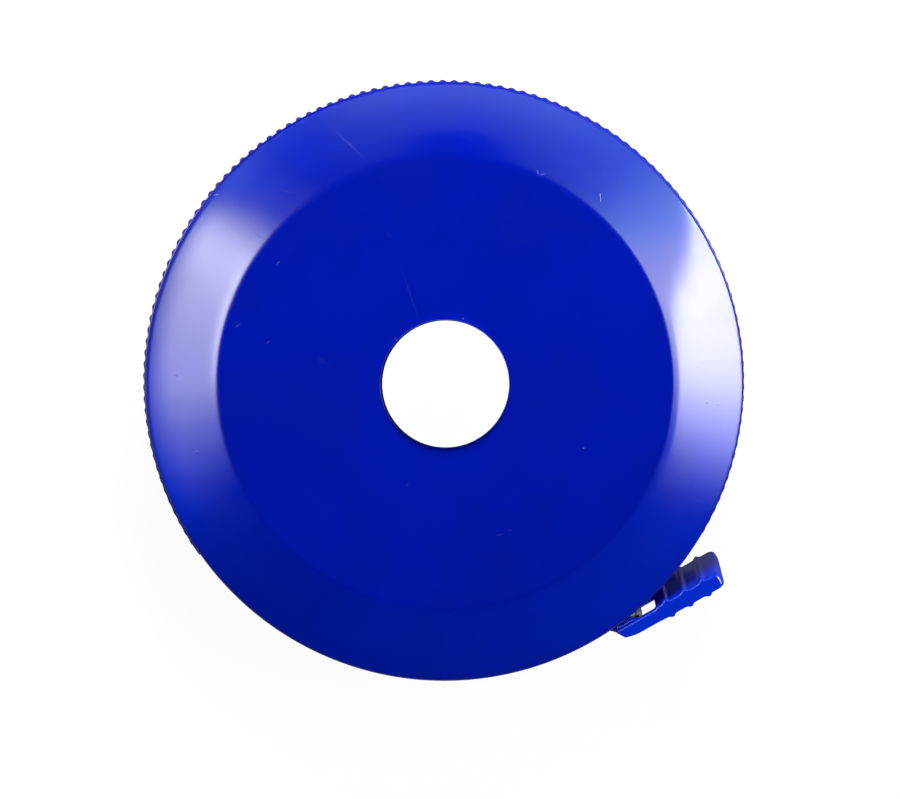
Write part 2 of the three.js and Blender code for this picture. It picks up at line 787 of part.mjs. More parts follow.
const reelGroup = new THREE.Group();
reelGroup.add(piece("reel_drum", reelDrum(), reelWhite));
reelGroup.add(piece("reel_front_flange", reelFrontFlange(), reelWhite));
reelGroup.add(piece("spring_retainer", springRetainer(), reelWhite));
reelGroup.add(piece("tape_roll", tapeRoll(), tapeCloth));
tapeMeasure.add(reelGroup);
tapeMeasure.add(piece("power_spring", powerSpring(), springSteel));
tapeMeasure.add(piece("tape_lead", tapeLead(), tapeCloth));

// The tape's end and the tab lean with the tape's twist about the line of pull.
const tapeEnd = new THREE.Group();
tapeEnd.position.set(barPlace.x, barPlace.y, midPlane);
tapeEnd.quaternion.setFromAxisAngle(new THREE.Vector3(pull.x, pull.y, 0), tabTwist);
const endLoop = piece("tape_end_loop", tapeEndLoop(), tapeCloth);
endLoop.rotation.z = pull.angle();
const tab = piece("pull_tab", pullTab(), tabBlue);
tab.rotation.z = tabAngle;
tapeEnd.add(endLoop, tab);
tapeMeasure.add(tapeEnd);

export default tapeMeasure;
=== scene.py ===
import math

import bmesh
import bpy
from mathutils import Matrix, Vector


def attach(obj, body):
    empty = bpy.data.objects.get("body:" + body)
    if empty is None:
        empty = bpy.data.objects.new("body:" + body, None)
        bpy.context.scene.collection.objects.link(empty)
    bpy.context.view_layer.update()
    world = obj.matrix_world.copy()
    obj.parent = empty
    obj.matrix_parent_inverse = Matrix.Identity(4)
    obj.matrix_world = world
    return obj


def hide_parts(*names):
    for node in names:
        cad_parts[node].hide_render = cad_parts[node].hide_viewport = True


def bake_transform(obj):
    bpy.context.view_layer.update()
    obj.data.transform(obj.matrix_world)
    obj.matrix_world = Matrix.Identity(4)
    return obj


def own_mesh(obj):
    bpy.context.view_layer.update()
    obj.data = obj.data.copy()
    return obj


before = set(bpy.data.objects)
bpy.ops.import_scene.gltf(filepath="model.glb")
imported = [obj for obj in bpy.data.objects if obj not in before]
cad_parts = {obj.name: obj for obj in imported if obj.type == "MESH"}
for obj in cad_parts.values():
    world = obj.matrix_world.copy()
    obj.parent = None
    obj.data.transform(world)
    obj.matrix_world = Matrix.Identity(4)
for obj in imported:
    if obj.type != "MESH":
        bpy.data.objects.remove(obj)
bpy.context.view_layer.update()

# Front cover
# The case's lid: one polystyrene moulding with a flat face, a bevelled ring and a rounded lip.
# Its spigot snaps into the rear cover, and the short ring under its face guides the push button.

mm = 0.001
lip_radius = 25.0
face_radius = 19.17
face_fillet = 0.48
bevel_drop = 1.8
bevel_crown = 0.1
lip_rounding = 0.15
cover_depth = 2.2
seam_rounding = 0.1
case_thickness = 13.0
case_wall = 1.3
wall_share = 0.85
bevel_slope = bevel_drop / (lip_radius - face_radius)
rub_outer = 15.41
rub_inner = 14.61
rub_depth = 1.8
hole_radius = 5.357
hole_edge = 0.05
hole_play = 0.07
hole_heading = math.radians(174)
spigot_outer = 23.55
spigot_inner = 22.6
spigot_end = 3.4
bead = (23.8, 2.9)
bead_half = 0.25
guide_outer = 7.7
guide_inner = 6.7
guide_end = 2.9
key_inner = 6.0
key_half = 0.6
key_count = 3
mouth_room = (math.radians(-68.8), math.radians(-36.2))
case_columns = 360
weld_distance = 1e-5


def bow(start, corner, end, steps=8):
    """Points of a curve from start to end that bends towards a corner, without its first point."""
    return [
        tuple((1 - t) ** 2 * a + 2 * t * (1 - t) * b + t * t * c for a, b, c in zip(start, corner, end))
        for t in (i / steps for i in range(1, steps + 1))
    ]


def ray(angle):
    """The unit vector at an angle from +X."""
    return Vector((math.cos(angle), math.sin(angle)))


def cover_skin():
    """Outer skin of a cover as radius and depth, from its flat face to the underside of its lip."""
    start = (face_radius + face_fillet, bevel_slope * face_fillet)
    end = (lip_radius - lip_rounding, bevel_drop - bevel_slope * lip_rounding)
    lean = math.hypot(bevel_slope, 1)
    crown = (
        (start[0] + end[0]) / 2 + 2 * bevel_crown * bevel_slope / lean,
        (start[1] + end[1]) / 2 - 2 * bevel_crown / lean,
    )
    rise = (crown[1] - start[1]) / (crown[0] - start[0])
    fall = (end[1] - crown[1]) / (end[0] - crown[0])
    skin = [(face_radius - face_fillet, 0.0)]
    skin += bow(skin[-1], (start[0] - start[1] / rise, 0.0), start, steps=10)
    skin += bow(start, crown, end, steps=24)
    lip = (lip_radius, bevel_drop + lip_rounding)
    skin += bow(end, (lip_radius, end[1] + fall * lip_rounding), lip)
    under = (lip_radius - seam_rounding, cover_depth)
    skin += bow(lip, (lip_radius, cover_depth), under, steps=4)
    return skin


def inside_depth(radius):
    """Depth of a cover's inside below its face, which follows the bevel."""
    return case_wall + max(radius - face_radius, 0) * bevel_slope * wall_share


def skinned(shape, rings, caps=True):
    """Faces between each ring of points and the next, and over the first and last ring as caps."""
    for low, high in zip(rings, rings[1:]):
        for k in range(len(low)):
            n = (k + 1) % len(low)
            shape.faces.new((low[k], low[n], high[n], high[k]))
    if caps:
        shape.faces.new(rings[0])
        shape.faces.new(rings[-1])


def turned(name, profile_at, angles):
    """A closed body swept round the Z axis, with a profile of radius and height for each angle."""
    shape = bmesh.new()
    columns = [
        [shape.verts.new((*(ray(angle) * r), z)) for r, z in profile_at(angle)] for angle in angles
    ]
    skinned(shape, columns + columns[:1], caps=False)
    bmesh.ops.remove_doubles(shape, verts=shape.verts, dist=weld_distance)
    return shaped(name, shape)


def placed(name, data):
    """A new object in the scene."""
    made = bpy.data.objects.new(name, data)
    bpy.context.scene.collection.objects.link(made)
    return made


def shaped(name, shape):
    """An object in metres from a shape drawn in millimetres, with its faces turned outwards."""
    bmesh.ops.recalc_face_normals(shape, faces=shape.faces)
    shape.transform(Matrix.Scale(mm, 4))
    mesh = bpy.data.meshes.new(name)
    shape.to_mesh(mesh)
    shape.free()
    return placed(name, mesh)


def smoothed(body, crease=28):
    """Shades a body smoothly, but for edges sharper than the crease angle."""
    shape = bmesh.new()
    shape.from_mesh(body.data)
    for face in shape.faces:
        face.smooth = True
    for edge in shape.edges:
        edge.smooth = edge.calc_face_angle(math.pi) < math.radians(crease)
    shape.to_mesh(body.data)
    shape.free()
    return body


def fitted(body, finish, carrier, slot, *nodes):
    """Gives a piece its finish and its place on a CAD body, in the stead of the CAD nodes named."""
    body.data.materials.clear()
    body.data.materials.append(finish)
    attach(body, carrier)
    if nodes:
        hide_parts(*nodes)
    return body


def all_round(extra=()):
    """Angles of the case's columns, with the angles where its profile steps."""
    even = [math.radians(i * 360 / case_columns) for i in range(case_columns)]
    steps = [angle % math.tau for angle in extra]
    hair = math.radians(0.001)
    return sorted(even + [s - hair for s in steps] + [s + hair for s in steps])


def within(angle, bounds):
    """Whether an angle lies between two bounds, which may be below zero."""
    return (angle - bounds[0]) % math.tau < (bounds[1] - bounds[0]) % math.tau


def near_key(angle, half_angle):
    """Whether an angle lies within a half angle of one of the guide's keys."""
    pitch = math.tau / key_count
    return abs((angle + pitch / 2) % pitch - pitch / 2) < half_angle


def key_sides(half_angle):
    """Angles on both sides of each of the guide's keys."""
    return [i * math.tau / key_count + side * half_angle for i in range(key_count) for side in (-1, 1)]


def front_profile(angle):
    """The front cover's section as radius and height."""
    hole = hole_radius + hole_play * math.cos(angle - hole_heading)
    skin = [(hole, case_wall), (hole, hole_edge)]
    skin += bow(skin[-1], (hole, 0.0), (hole + hole_edge, 0.0))
    skin += cover_skin()
    spigot = [
        (spigot_outer, cover_depth), (spigot_outer, bead[1] - bead_half), bead,
        (spigot_outer, bead[1] + bead_half), (spigot_outer, spigot_end),
        (spigot_inner, spigot_end), (spigot_inner, inside_depth(spigot_inner)),
    ]
    if within(angle, mouth_room):
        spigot = [(min(r, spigot_outer), min(depth, cover_depth)) for r, depth in spigot]
    inside = [
        (face_radius, case_wall), (rub_outer, case_wall), (rub_outer, rub_depth),
        (rub_inner, rub_depth), (rub_inner, case_wall), (guide_outer, case_wall),
        (guide_outer, guide_end), (guide_inner, guide_end), (guide_inner, case_wall),
    ]
    if near_key(angle, key_half / guide_inner):
        inside[-2:] = [(key_inner, guide_end), (key_inner, case_wall)]
    return [(r, case_thickness - depth) for r, depth in skin + spigot + inside]


front_steps = all_round([*mouth_room, *key_sides(key_half / guide_inner)])
front_cover = smoothed(turned("front_cover_shell", front_profile, front_steps))


# The blue plastic's finish. Its effects are groups that the rear cover, the rim and the tab share.


def node(tree, kind, inputs=None, **settings):
    """A node with its settings, and with each input given a value or joined to another node's output."""
    made = tree.nodes.new(kind)
    for name, value in settings.items():
        setattr(made, name, value)
    for key, value in (inputs or {}).items():
        if isinstance(value, bpy.types.NodeSocket):
            tree.links.new(value, made.inputs[key])
        else:
            made.inputs[key].default_value = value
    return made


def calc(operation, *values, clamp=False):
    """The result of a Math node, in the tree of the values that are other nodes' outputs."""
    tree = next(value.id_data for value in values if isinstance(value, bpy.types.NodeSocket))
    inputs = dict(enumerate(values))
    return node(tree, "ShaderNodeMath", inputs, operation=operation, use_clamp=clamp).outputs[0]


def product(first, *others):
    """The product of values."""
    for value in others:
        first = calc("MULTIPLY", first, value)
    return first


def eased(value, low, high, bottom=0.0, top=1.0):
    """A smooth step of a value from low to high."""
    inputs = {"Value": value, "From Min": low, "From Max": high, "To Min": bottom, "To Max": top}
    kind = "ShaderNodeMapRange"
    return node(value.id_data, kind, inputs, interpolation_type="SMOOTHSTEP").outputs["Result"]


def noise(place, scale, detail, roughness=0.5):
    """The level of a noise texture."""
    inputs = {"Vector": place, "Scale": scale, "Detail": detail, "Roughness": roughness}
    return node(place.id_data, "ShaderNodeTexNoise", inputs).outputs[0]


def mixed(share, first, second):
    """A mix of two colours, of which the first may be another node's output."""
    if not isinstance(first, bpy.types.NodeSocket):
        first = (*first, 1)
    inputs = {"Factor": share, 6: first, 7: (*second, 1)}
    return node(share.id_data, "ShaderNodeMix", inputs, data_type="RGBA").outputs[2]


def scaled(place, scale):
    """A place stretched along its three axes."""
    return node(place.id_data, "ShaderNodeMapping", {"Vector": place, "Scale": scale}).outputs[0]


def new_finish(name, **fixed):
    """A material whose shader has the fixed inputs given, its nodes, and the place in millimetres."""
    finish = bpy.data.materials.new(name)
    finish.use_nodes = True
    tree = finish.node_tree
    for label, value in fixed.items():
        tree.nodes["Principled BSDF"].inputs[label].default_value = value
    local = node(tree, "ShaderNodeTexCoord").outputs["Object"]
    return finish, tree, scaled(local, (1 / mm,) * 3)


def surfaced(tree, base, roughness, height, depth):
    """Joins colour, roughness and bumps to a material's shader. The bumps' depth is in millimetres."""
    bump = node(tree, "ShaderNodeBump", {"Height": height, "Strength": 1.0, "Distance": depth * mm})
    surface = tree.nodes["Principled BSDF"].inputs
    for label, value in (("Base Color", base), ("Roughness", roughness), ("Normal", bump.outputs[0])):
        tree.links.new(value, surface[label])


def new_group(name, inputs, outputs):
    """A shader group with named inputs, each with its value, and named outputs."""
    tree = bpy.data.node_groups.new(name, "ShaderNodeTree")
    for label, value in inputs.items():
        kind = "NodeSocketVector" if value is None else "NodeSocketFloat"
        socket = tree.interface.new_socket(name=label, in_out="INPUT", socket_type=kind)
        if value is not None:
            socket.default_value = value
    for label in outputs:
        tree.interface.new_socket(name=label, in_out="OUTPUT", socket_type="NodeSocketFloat")
    return tree, tree.nodes.new("NodeGroupInput").outputs, tree.nodes.new("NodeGroupOutput").inputs


def grouped(tree, group, inputs):
    """The outputs of a shader group."""
    return node(tree, "ShaderNodeGroup", inputs, node_tree=group).outputs


# Shallow waves and fine grain that the mould leaves on the plastic
moulded_skin, given, made = new_group(
    "moulded_skin", {"Vector": None, "Wave Length": 6.0, "Grain Size": 0.25, "Grain Share": 0.1},
    ["Height", "Mottle"],
)
wave_scale = calc("DIVIDE", 1.0, given["Wave Length"])
grain_scale = calc("DIVIDE", 1.0, given["Grain Size"])
waves = noise(given["Vector"], wave_scale, 1.0)
grain = noise(given["Vector"], grain_scale, 2.0)
relief = calc("MULTIPLY_ADD", grain, given["Grain Share"], waves)
moulded_skin.links.new(relief, made["Height"])
moulded_skin.links.new(noise(given["Vector"], 0.09, 4.0, 0.6), made["Mottle"])

# Fine hairlines in two directions, broken into patches, as a pocket or a sewing box leaves them
hairlines, given, made = new_group(
    "hairlines", {"Vector": None, "Turn": 0.5, "Line Width": 0.05, "Spread": 0.6}, ["Mask"]
)
lines = []
for lean, stretch in ((0.0, 7.0), (1.2, 5.0)):
    turn = calc("ADD", given["Turn"], lean)
    leaning = node(hairlines, "ShaderNodeVectorRotate", {
        "Vector": given["Vector"], "Angle": turn,
    }, rotation_type="Z_AXIS").outputs[0]
    field = noise(scaled(leaning, (0.05, 0.05 * stretch, 0.05)), 3.0, 0.0)
    off = calc("ABSOLUTE", calc("SUBTRACT", field, 0.5))
    width = product(given["Line Width"], 0.1)
    near = calc("SUBTRACT", 1.0, calc("DIVIDE", off, width), clamp=True)
    patch = noise(leaning, 0.21 + lean * 0.05, 2.0)
    shown = eased(patch, given["Spread"], calc("ADD", given["Spread"], 0.08))
    lines.append(product(near, shown))
hairlines.links.new(calc("MAXIMUM", *lines), made["Mask"])

# Specks of dust and tiny pits, strewn at random
specks, given, made = new_group(
    "specks", {"Vector": None, "Spacing": 2.4, "Size": 0.05, "Share": 0.25}, ["Mask"]
)
cells = node(specks, "ShaderNodeTexVoronoi", {
    "Vector": given["Vector"], "Scale": calc("DIVIDE", 1.0, given["Spacing"]),
}).outputs
lucky = node(specks, "ShaderNodeSeparateColor", {"Color": cells["Color"]}).outputs
spot = product(cells["Distance"], given["Spacing"])
reach = product(given["Size"], lucky[1])
round_spot = eased(spot, reach, 0.0)
chosen = calc("LESS_THAN", lucky[0], given["Share"])
specks.links.new(product(round_spot, chosen), made["Mask"])

# Rubbed plastic along a rim: a band about a radius, worn in patches
rim_wear, given, made = new_group("rim_wear", {"Vector": None, "Radius": 25.0, "Width": 0.35}, ["Mask"])
flat_place = node(rim_wear, "ShaderNodeVectorMath", {
    0: given["Vector"], 1: (1.0, 1.0, 0.0),
}, operation="MULTIPLY").outputs[0]
out = node(rim_wear, "ShaderNodeVectorMath", {0: flat_place}, operation="LENGTH").outputs["Value"]
off = calc("ABSOLUTE", calc("SUBTRACT", out, given["Radius"]))
band = eased(off, given["Width"], 0.0)
rubbed = noise(given["Vector"], 0.7, 3.0, 0.7)
rim_wear.links.new(product(band, eased(rubbed, 0.45, 0.7)), made["Mask"])


mark_level = 12.0
mark_height = 20.0


def strokes_mask(tree, place, strokes):
    """Single scratches, each given by its place, turn in degrees, length, width and strength."""
    total = 0.0
    for x, y, turn, length, width, strength in strokes:
        along = node(tree, "ShaderNodeMapping", {
            "Vector": place, "Location": (x, y, mark_level), "Rotation": (0, 0, math.radians(turn)),
            "Scale": (length / 2, width, mark_height),
        }, vector_type="TEXTURE").outputs[0]
        fade = node(tree, "ShaderNodeTexGradient", {"Vector": along}, gradient_type="SPHERICAL").outputs[1]
        total = calc("MULTIPLY_ADD", fade, strength, total)
    return total


dust_colour = (0.012, 0.02, 0.09)
skin_depth = 0.012


def blue_moulding(name, colour, roughness, wear_radius=25.0, wear_width=0.3, strokes=(), pits=()):
    """Glossy blue plastic with moulding waves, hairlines, dust, rubbed rims and single scratches."""
    finish, tree, place = new_finish(name, IOR=1.95)
    skin = grouped(tree, moulded_skin, {"Vector": place})
    hair = grouped(tree, hairlines, {"Vector": place})["Mask"]
    dust = grouped(tree, specks, {"Vector": place})["Mask"]
    worn = grouped(tree, rim_wear, {"Vector": place, "Radius": wear_radius, "Width": wear_width})["Mask"]
    marks = strokes_mask(tree, place, strokes)
    dust = calc("MAXIMUM", dust, strokes_mask(tree, place, pits))
    light = tuple(0.85 * c + 0.05 for c in colour)
    deep = tuple(0.86 * c for c in colour)
    base = mixed(eased(skin["Mottle"], 0.35, 0.65), colour, deep)
    scuffs = calc("ADD", marks, product(hair, 0.07), clamp=True)
    scuffs = calc("MAXIMUM", scuffs, product(worn, 0.45))
    base = mixed(scuffs, base, light)
    base = mixed(product(dust, 0.8), base, dust_colour)
    film = eased(skin["Mottle"], 0.4, 0.75, roughness, roughness + 0.07)
    rough = calc("MULTIPLY_ADD", scuffs, 0.35, film)
    rough = calc("MULTIPLY_ADD", dust, 0.3, rough, clamp=True)
    height = calc("MULTIPLY_ADD", scuffs, -1.2, skin["Height"])
    height = calc("MULTIPLY_ADD", dust, 1.5, height)
    surfaced(tree, base, rough, height, skin_depth)
    return finish


case_colour = (0.0003, 0.0088, 0.405)
face_strokes = [
    (-8.0, 20.0, -44, 4.2, 0.12, 0.3), (-2.95, 7.5, -71, 5.4, 0.06, 0.3),
    (12.95, 15.5, -87, 0.9, 0.06, 1.0), (7.7, 17.65, -75, 0.6, 0.06, 0.8),
    (8.1, 17.45, 12, 0.7, 0.06, 0.8), (-13.95, 10.1, 52, 0.7, 0.07, 0.6),
    (-17.3, 4.9, 38, 0.8, 0.11, 0.55), (-14.8, 3.5, 40, 0.5, 0.09, 0.5),
    (-15.4, 12.3, -38, 1.3, 0.05, 0.6), (-19.15, 15.7, 3, 0.7, 0.08, 0.8),
    (-4.15, 3.75, -55, 0.5, 0.1, 0.7), (1.45, 5.45, 20, 0.22, 0.11, 1.0),
    (-3.2, -8.4, 60, 0.5, 0.12, 0.3), (4.5, -12.6, 15, 0.8, 0.06, 0.35),
]
face_pits = [
    (x, y, 0, 0.24, 0.12, strength) for x, y, strength in (
        (11.5, -5.4, 1.0), (21.0, 1.44, 0.25), (21.5, 0.97, 0.2), (21.9, -1.57, 0.35), (22.8, -1.77, 0.3),
        (-20.5, 9.27, 0.2), (-22.4, 0.7, 0.35), (-20.7, -5.7, 0.35),
    )
]
case_blue = blue_moulding("case_blue_gloss", case_colour, 0.1, strokes=face_strokes, pits=face_pits)
fitted(front_cover, case_blue, "case", "case_blue", "front_cover")

# Rear cover
# The cup of the case: the same face and bevel at its back, a wall with a stepped band, the post for
# the power spring, and the thick mouth with the tape's slot and the hollow that the pull tab lies in.

seam = case_thickness - cover_depth
rim_inner = 23.7
mouth_inner = 22.4
ribbed_radius = 25.1
band_draft = 0.12
rear_play = 0.08
play_heading = math.radians(130)
plain_radius = 24.75
plain_band = (math.radians(215), math.radians(329))
mouth = (math.radians(-68), math.radians(-37))
groove = [(0, 10.5), (0.25, 10.175), (0.25, 10.025), (0, 9.7)]
post_radius = 3.0
post_top = 7.15
pip_radius = 1.2
pip_top = 8.25
mid_plane = 6.5
tab_angle = math.radians(26.5)
tab_twist = math.radians(8.1)
bar_along = 4.76
bar_out = 25.1
running_gap = 0.3
along = ray(tab_angle)
outward = Vector((along.y, -along.x))
bar_place = bar_along * along + bar_out * outward
roll_radius = 18.82
tape_thickness = 0.4
tape_width = 6.4
line_radius = roll_radius - tape_thickness / 2
foot_angle = math.atan2(bar_place.y, bar_place.x) - math.acos(line_radius / bar_place.length)
foot = line_radius * ray(foot_angle)
pull = Vector((-math.sin(foot_angle), math.cos(foot_angle)))
pull_angle = math.atan2(pull.y, pull.x)
bar_frame = (
    Matrix.Translation((*bar_place, mid_plane)) @ Matrix.Rotation(tab_twist, 4, Vector((*pull, 0)))
)


def rear_profile(angle):
    """The rear cover's section as radius and height."""
    play = rear_play * math.cos(angle - play_heading)
    band = plain_radius if within(angle, plain_band) else ribbed_radius + play
    foot_of_band = band if within(angle, plain_band) else band - band_draft
    in_mouth = within(angle, mouth)
    inner = mouth_inner if in_mouth else rim_inner
    wall = [(min(lip_radius, foot_of_band) - seam_rounding, cover_depth)]
    wall += bow(wall[-1], (foot_of_band, cover_depth), (foot_of_band, cover_depth + seam_rounding), steps=4)
    wall += [(band, seam - seam_rounding)]
    wall += bow(wall[-1], (band, seam), (band - seam_rounding, seam), steps=4)
    wall += [(inner, seam)]
    wall += [(inner + (0 if in_mouth else step), z) for step, z in groove]
    wall += [(inner, inside_depth(inner)), (face_radius, case_wall)]
    floor = [
        (rub_outer, case_wall), (rub_outer, rub_depth), (rub_inner, rub_depth),
        (rub_inner, case_wall), (post_radius, case_wall), (post_radius, post_top),
        (pip_radius, post_top), (pip_radius, pip_top), (0.0, pip_top),
    ]
    return [(0.0, 0.0)] + cover_skin() + wall + floor


def prism(name, outline, low, high, matrix=None):
    """A closed upright body on an outline."""
    shape = bmesh.new()
    skinned(shape, [[shape.verts.new((x, y, z)) for x, y in outline] for z in (low, high)])
    if matrix is not None:
        shape.transform(matrix)
    return shaped(name, shape)


def baked(body):
    """Applies a body's modifiers, so that only a plain mesh is left."""
    evaluated = body.evaluated_get(bpy.context.evaluated_depsgraph_get())
    mesh = bpy.data.meshes.new_from_object(evaluated)
    body.modifiers.clear()
    old, body.data = body.data, mesh
    bpy.data.meshes.remove(old)
    mesh.name = body.name
    return body


def cut(body, *tools):
    """Takes the tools' room out of a body."""
    for tool in tools:
        knife = body.modifiers.new("cut", "BOOLEAN")
        knife.operation = "DIFFERENCE"
        knife.solver = "EXACT"
        knife.object = tool
        baked(body)
        bpy.data.objects.remove(tool)
    return body


def chord_reach(radius, side=0.0):
    """How far along the tape's line a radius is reached."""
    return math.sqrt(radius**2 - (line_radius + side) ** 2)


slot_half = 1.2
slot_flare = 0.5
slot_bottom = 3.0
slot_top = 10.0
neck_depth = 0.65
overrun = 1.0
inside_end = chord_reach(mouth_inner - overrun, slot_half + slot_flare)
neck = chord_reach(mouth_inner + neck_depth)
slot_mouth = chord_reach(rim_inner)
outside_end = chord_reach(lip_radius + overrun)
slot_outline = [(inside_end, -slot_half - slot_flare), (neck, -slot_half), (slot_mouth, -slot_half)]
slot_outline += [(outside_end, -slot_half - slot_flare), (outside_end, slot_half + slot_flare)]
slot_outline += [(slot_mouth, slot_half), (neck, slot_half), (inside_end, slot_half + slot_flare)]
tape_line = Matrix.Translation((*foot, 0)) @ Matrix.Rotation(pull_angle, 4, "Z")
slot_room = prism("slot_room", slot_outline, slot_bottom, slot_top, tape_line)
tab_half = 4.3
nest_half = tab_half + running_gap
arm_corner = (0.95, 0.65)
swing_radius = math.hypot(*arm_corner) + running_gap
rest_corners = [(0, -2.1), (4.6, -2.1), (4.6, 1.3), (0, 1.3)]
slit_half = 0.425
slit_bottom = 3.0
ring_sides = 96
ring_of = [math.tau * i / ring_sides for i in range(ring_sides)]
swing_room = prism(
    "swing_room", [(swing_radius * math.cos(a), swing_radius * math.sin(a)) for a in ring_of],
    -nest_half, nest_half, bar_frame,
)
rest_room = prism(
    "rest_room", rest_corners, -nest_half, nest_half, bar_frame @ Matrix.Rotation(tab_angle, 4, "Z")
)
slit_end = -post_radius - overrun
slit_corners = [(-slit_half, slit_end), (slit_half, slit_end), (slit_half, 0), (-slit_half, 0)]
slit_room = prism("slit_room", slit_corners, slit_bottom, pip_top + overrun)
rear_cover = turned("rear_cover_shell", rear_profile, all_round([*plain_band, *mouth]))
cut(rear_cover, slot_room, swing_room, rest_room, slit_room)
smoothed(rear_cover)
crest_radius = ribbed_radius + 0.15
rim_blue = blue_moulding("rim_blue_gloss", case_colour, 0.13, crest_radius, 0.12)
fitted(rear_cover, rim_blue, "case", "case_blue", "rear_cover")

# Rim ribs
# Small upright ribs moulded on the rear cover's band for grip. They run round all of the rim but for
# the plain stretch at the tape's mouth.

tree = bpy.data.node_groups.new("rim_ribs", "GeometryNodeTree")
rib_pitch = math.tau / 162
rib_length = 8.4
rib_sizes = {
    "Rib Count": 110, "Spacing": rib_pitch, "First Angle": plain_band[1] + rib_pitch / 2,
    "Band Radius": (ribbed_radius - band_draft / 2) * mm, "Rib Height": 0.19 * mm,
    "Rib Half Width": 0.27 * mm, "Rib Length": rib_length * mm, "Rib Middle": mid_plane * mm,
    "Fade From": 0.2, "Lean": band_draft / rib_length, "Finish": rim_blue,
}
socket_kinds = {int: "NodeSocketInt", float: "NodeSocketFloat", bpy.types.Material: "NodeSocketMaterial"}
for label, value in rib_sizes.items():
    tree.interface.new_socket(name=label, in_out="INPUT", socket_type=socket_kinds[type(value)])
tree.interface.new_socket(name="Ribs", in_out="OUTPUT", socket_type="NodeSocketGeometry")
given = tree.nodes.new("NodeGroupInput").outputs
made = tree.nodes.new("NodeGroupOutput").inputs
rod = node(tree, "GeometryNodeMeshCylinder", {
    "Vertices": 12, "Side Segments": 12, "Radius": 1.0, "Depth": given["Rib Length"],
}).outputs["Mesh"]
position = node(tree, "GeometryNodeInputPosition").outputs[0]
spot = node(tree, "ShaderNodeSeparateXYZ", {0: position}).outputs
half_length = product(given["Rib Length"], 0.5)
end_share = calc("DIVIDE", spot[2], half_length)
taper = eased(end_share, given["Fade From"], 1.05, 1.0, 0.2)
taper = product(taper, eased(end_share, 0.0, -1.05, 1.0, 0.3))
rise = product(spot[0], given["Rib Height"], taper)
rise = calc("MULTIPLY_ADD", spot[2], given["Lean"], rise)
sideways = product(spot[1], given["Rib Half Width"])
rounded_place = node(tree, "ShaderNodeCombineXYZ", {0: rise, 1: sideways, 2: spot[2]}).outputs[0]
rod = node(tree, "GeometryNodeSetPosition", {"Geometry": rod, "Position": rounded_place}).outputs[0]
stand = node(tree, "ShaderNodeCombineXYZ", {0: given["Band Radius"], 2: given["Rib Middle"]}).outputs[0]
one_rib = node(tree, "GeometryNodeTransform", {"Geometry": rod, "Translation": stand}).outputs[0]
points = node(tree, "GeometryNodePoints", {"Count": given["Rib Count"]}).outputs[0]
order = node(tree, "GeometryNodeInputIndex").outputs[0]
angle = calc("MULTIPLY_ADD", order, given["Spacing"], given["First Angle"])
heading = node(tree, "FunctionNodeEulerToRotation", {
    0: node(tree, "ShaderNodeCombineXYZ", {2: angle}).outputs[0],
}).outputs[0]
ribs = node(tree, "GeometryNodeInstanceOnPoints", {
    "Points": points, "Instance": one_rib, "Rotation": heading,
}).outputs[0]
ribs = node(tree, "GeometryNodeRealizeInstances", {"Geometry": ribs}).outputs[0]
ribs = node(tree, "GeometryNodeSetMaterial", {"Geometry": ribs, "Material": given["Finish"]}).outputs[0]
tree.links.new(ribs, made["Ribs"])

rim_ribs = placed("rim_ribs", bpy.data.meshes.new("rim_ribs"))
grower = rim_ribs.modifiers.new("ribs", "NODES")
grower.node_group = tree
for socket in tree.interface.items_tree:
    if socket.in_out == "INPUT":
        grower[socket.identifier] = rib_sizes[socket.name]
baked(rim_ribs)
rim_ribs.data.transform(Matrix.Translation(rear_play * mm * ray(play_heading).to_3d()))
smoothed(rim_ribs, 50)
fitted(rim_ribs, rim_blue, "case", "case_blue")

# Push button
# A plain white cap that stands just proud of the face. Pressing it lowers the pawl disc on its neck,
# which lets go of the reel. Its shoulder keeps it in, and three notches keep it from turning.

button_radius = 5.285
button_top = 13.3
button_edge = 0.05
button_crown = 0.02
shoulder_radius = 6.4
notch_radius = 5.7
notch_angle = 0.9 / shoulder_radius
shoulder_low = 10.9
shoulder_high = 11.7
crown_steps = 6
neck_profile = [
    (0.0, 11.5), (3.0, 11.5), (3.0, 8.55), (4.0, 8.55), (4.4, 8.75), (4.4, 8.95), (4.0, 8.95),
    (4.0, 9.8), (4.6, 9.8), (4.6, shoulder_low),
]


def button_profile(angle):
    """The button's section as radius and height."""
    shoulder = notch_radius if near_key(angle, notch_angle) else shoulder_radius
    reach, crown = button_radius - button_edge, button_top - button_crown
    shares = [i / crown_steps for i in range(crown_steps, 0, -1)]
    edge_low = (button_radius, button_top - button_edge)
    edge = bow(edge_low, (button_radius, button_top - button_crown / 2), (reach, crown))
    return [
        *neck_profile, (shoulder, shoulder_low), (shoulder, shoulder_high), (button_radius, shoulder_high),
        edge_low, *edge[:-1], *((reach * t, button_top - button_crown * t * t) for t in shares),
        (0.0, button_top),
    ]


push_button = smoothed(turned("push_button_cap", button_profile, all_round(key_sides(notch_angle))))


# A dark grey for dust, rubbed edges and hairlines, and for the painted shade inside the button's gap.
dirt_and_shade_colour = (0.16, 0.16, 0.17)
painted_shade_fade = 0.12


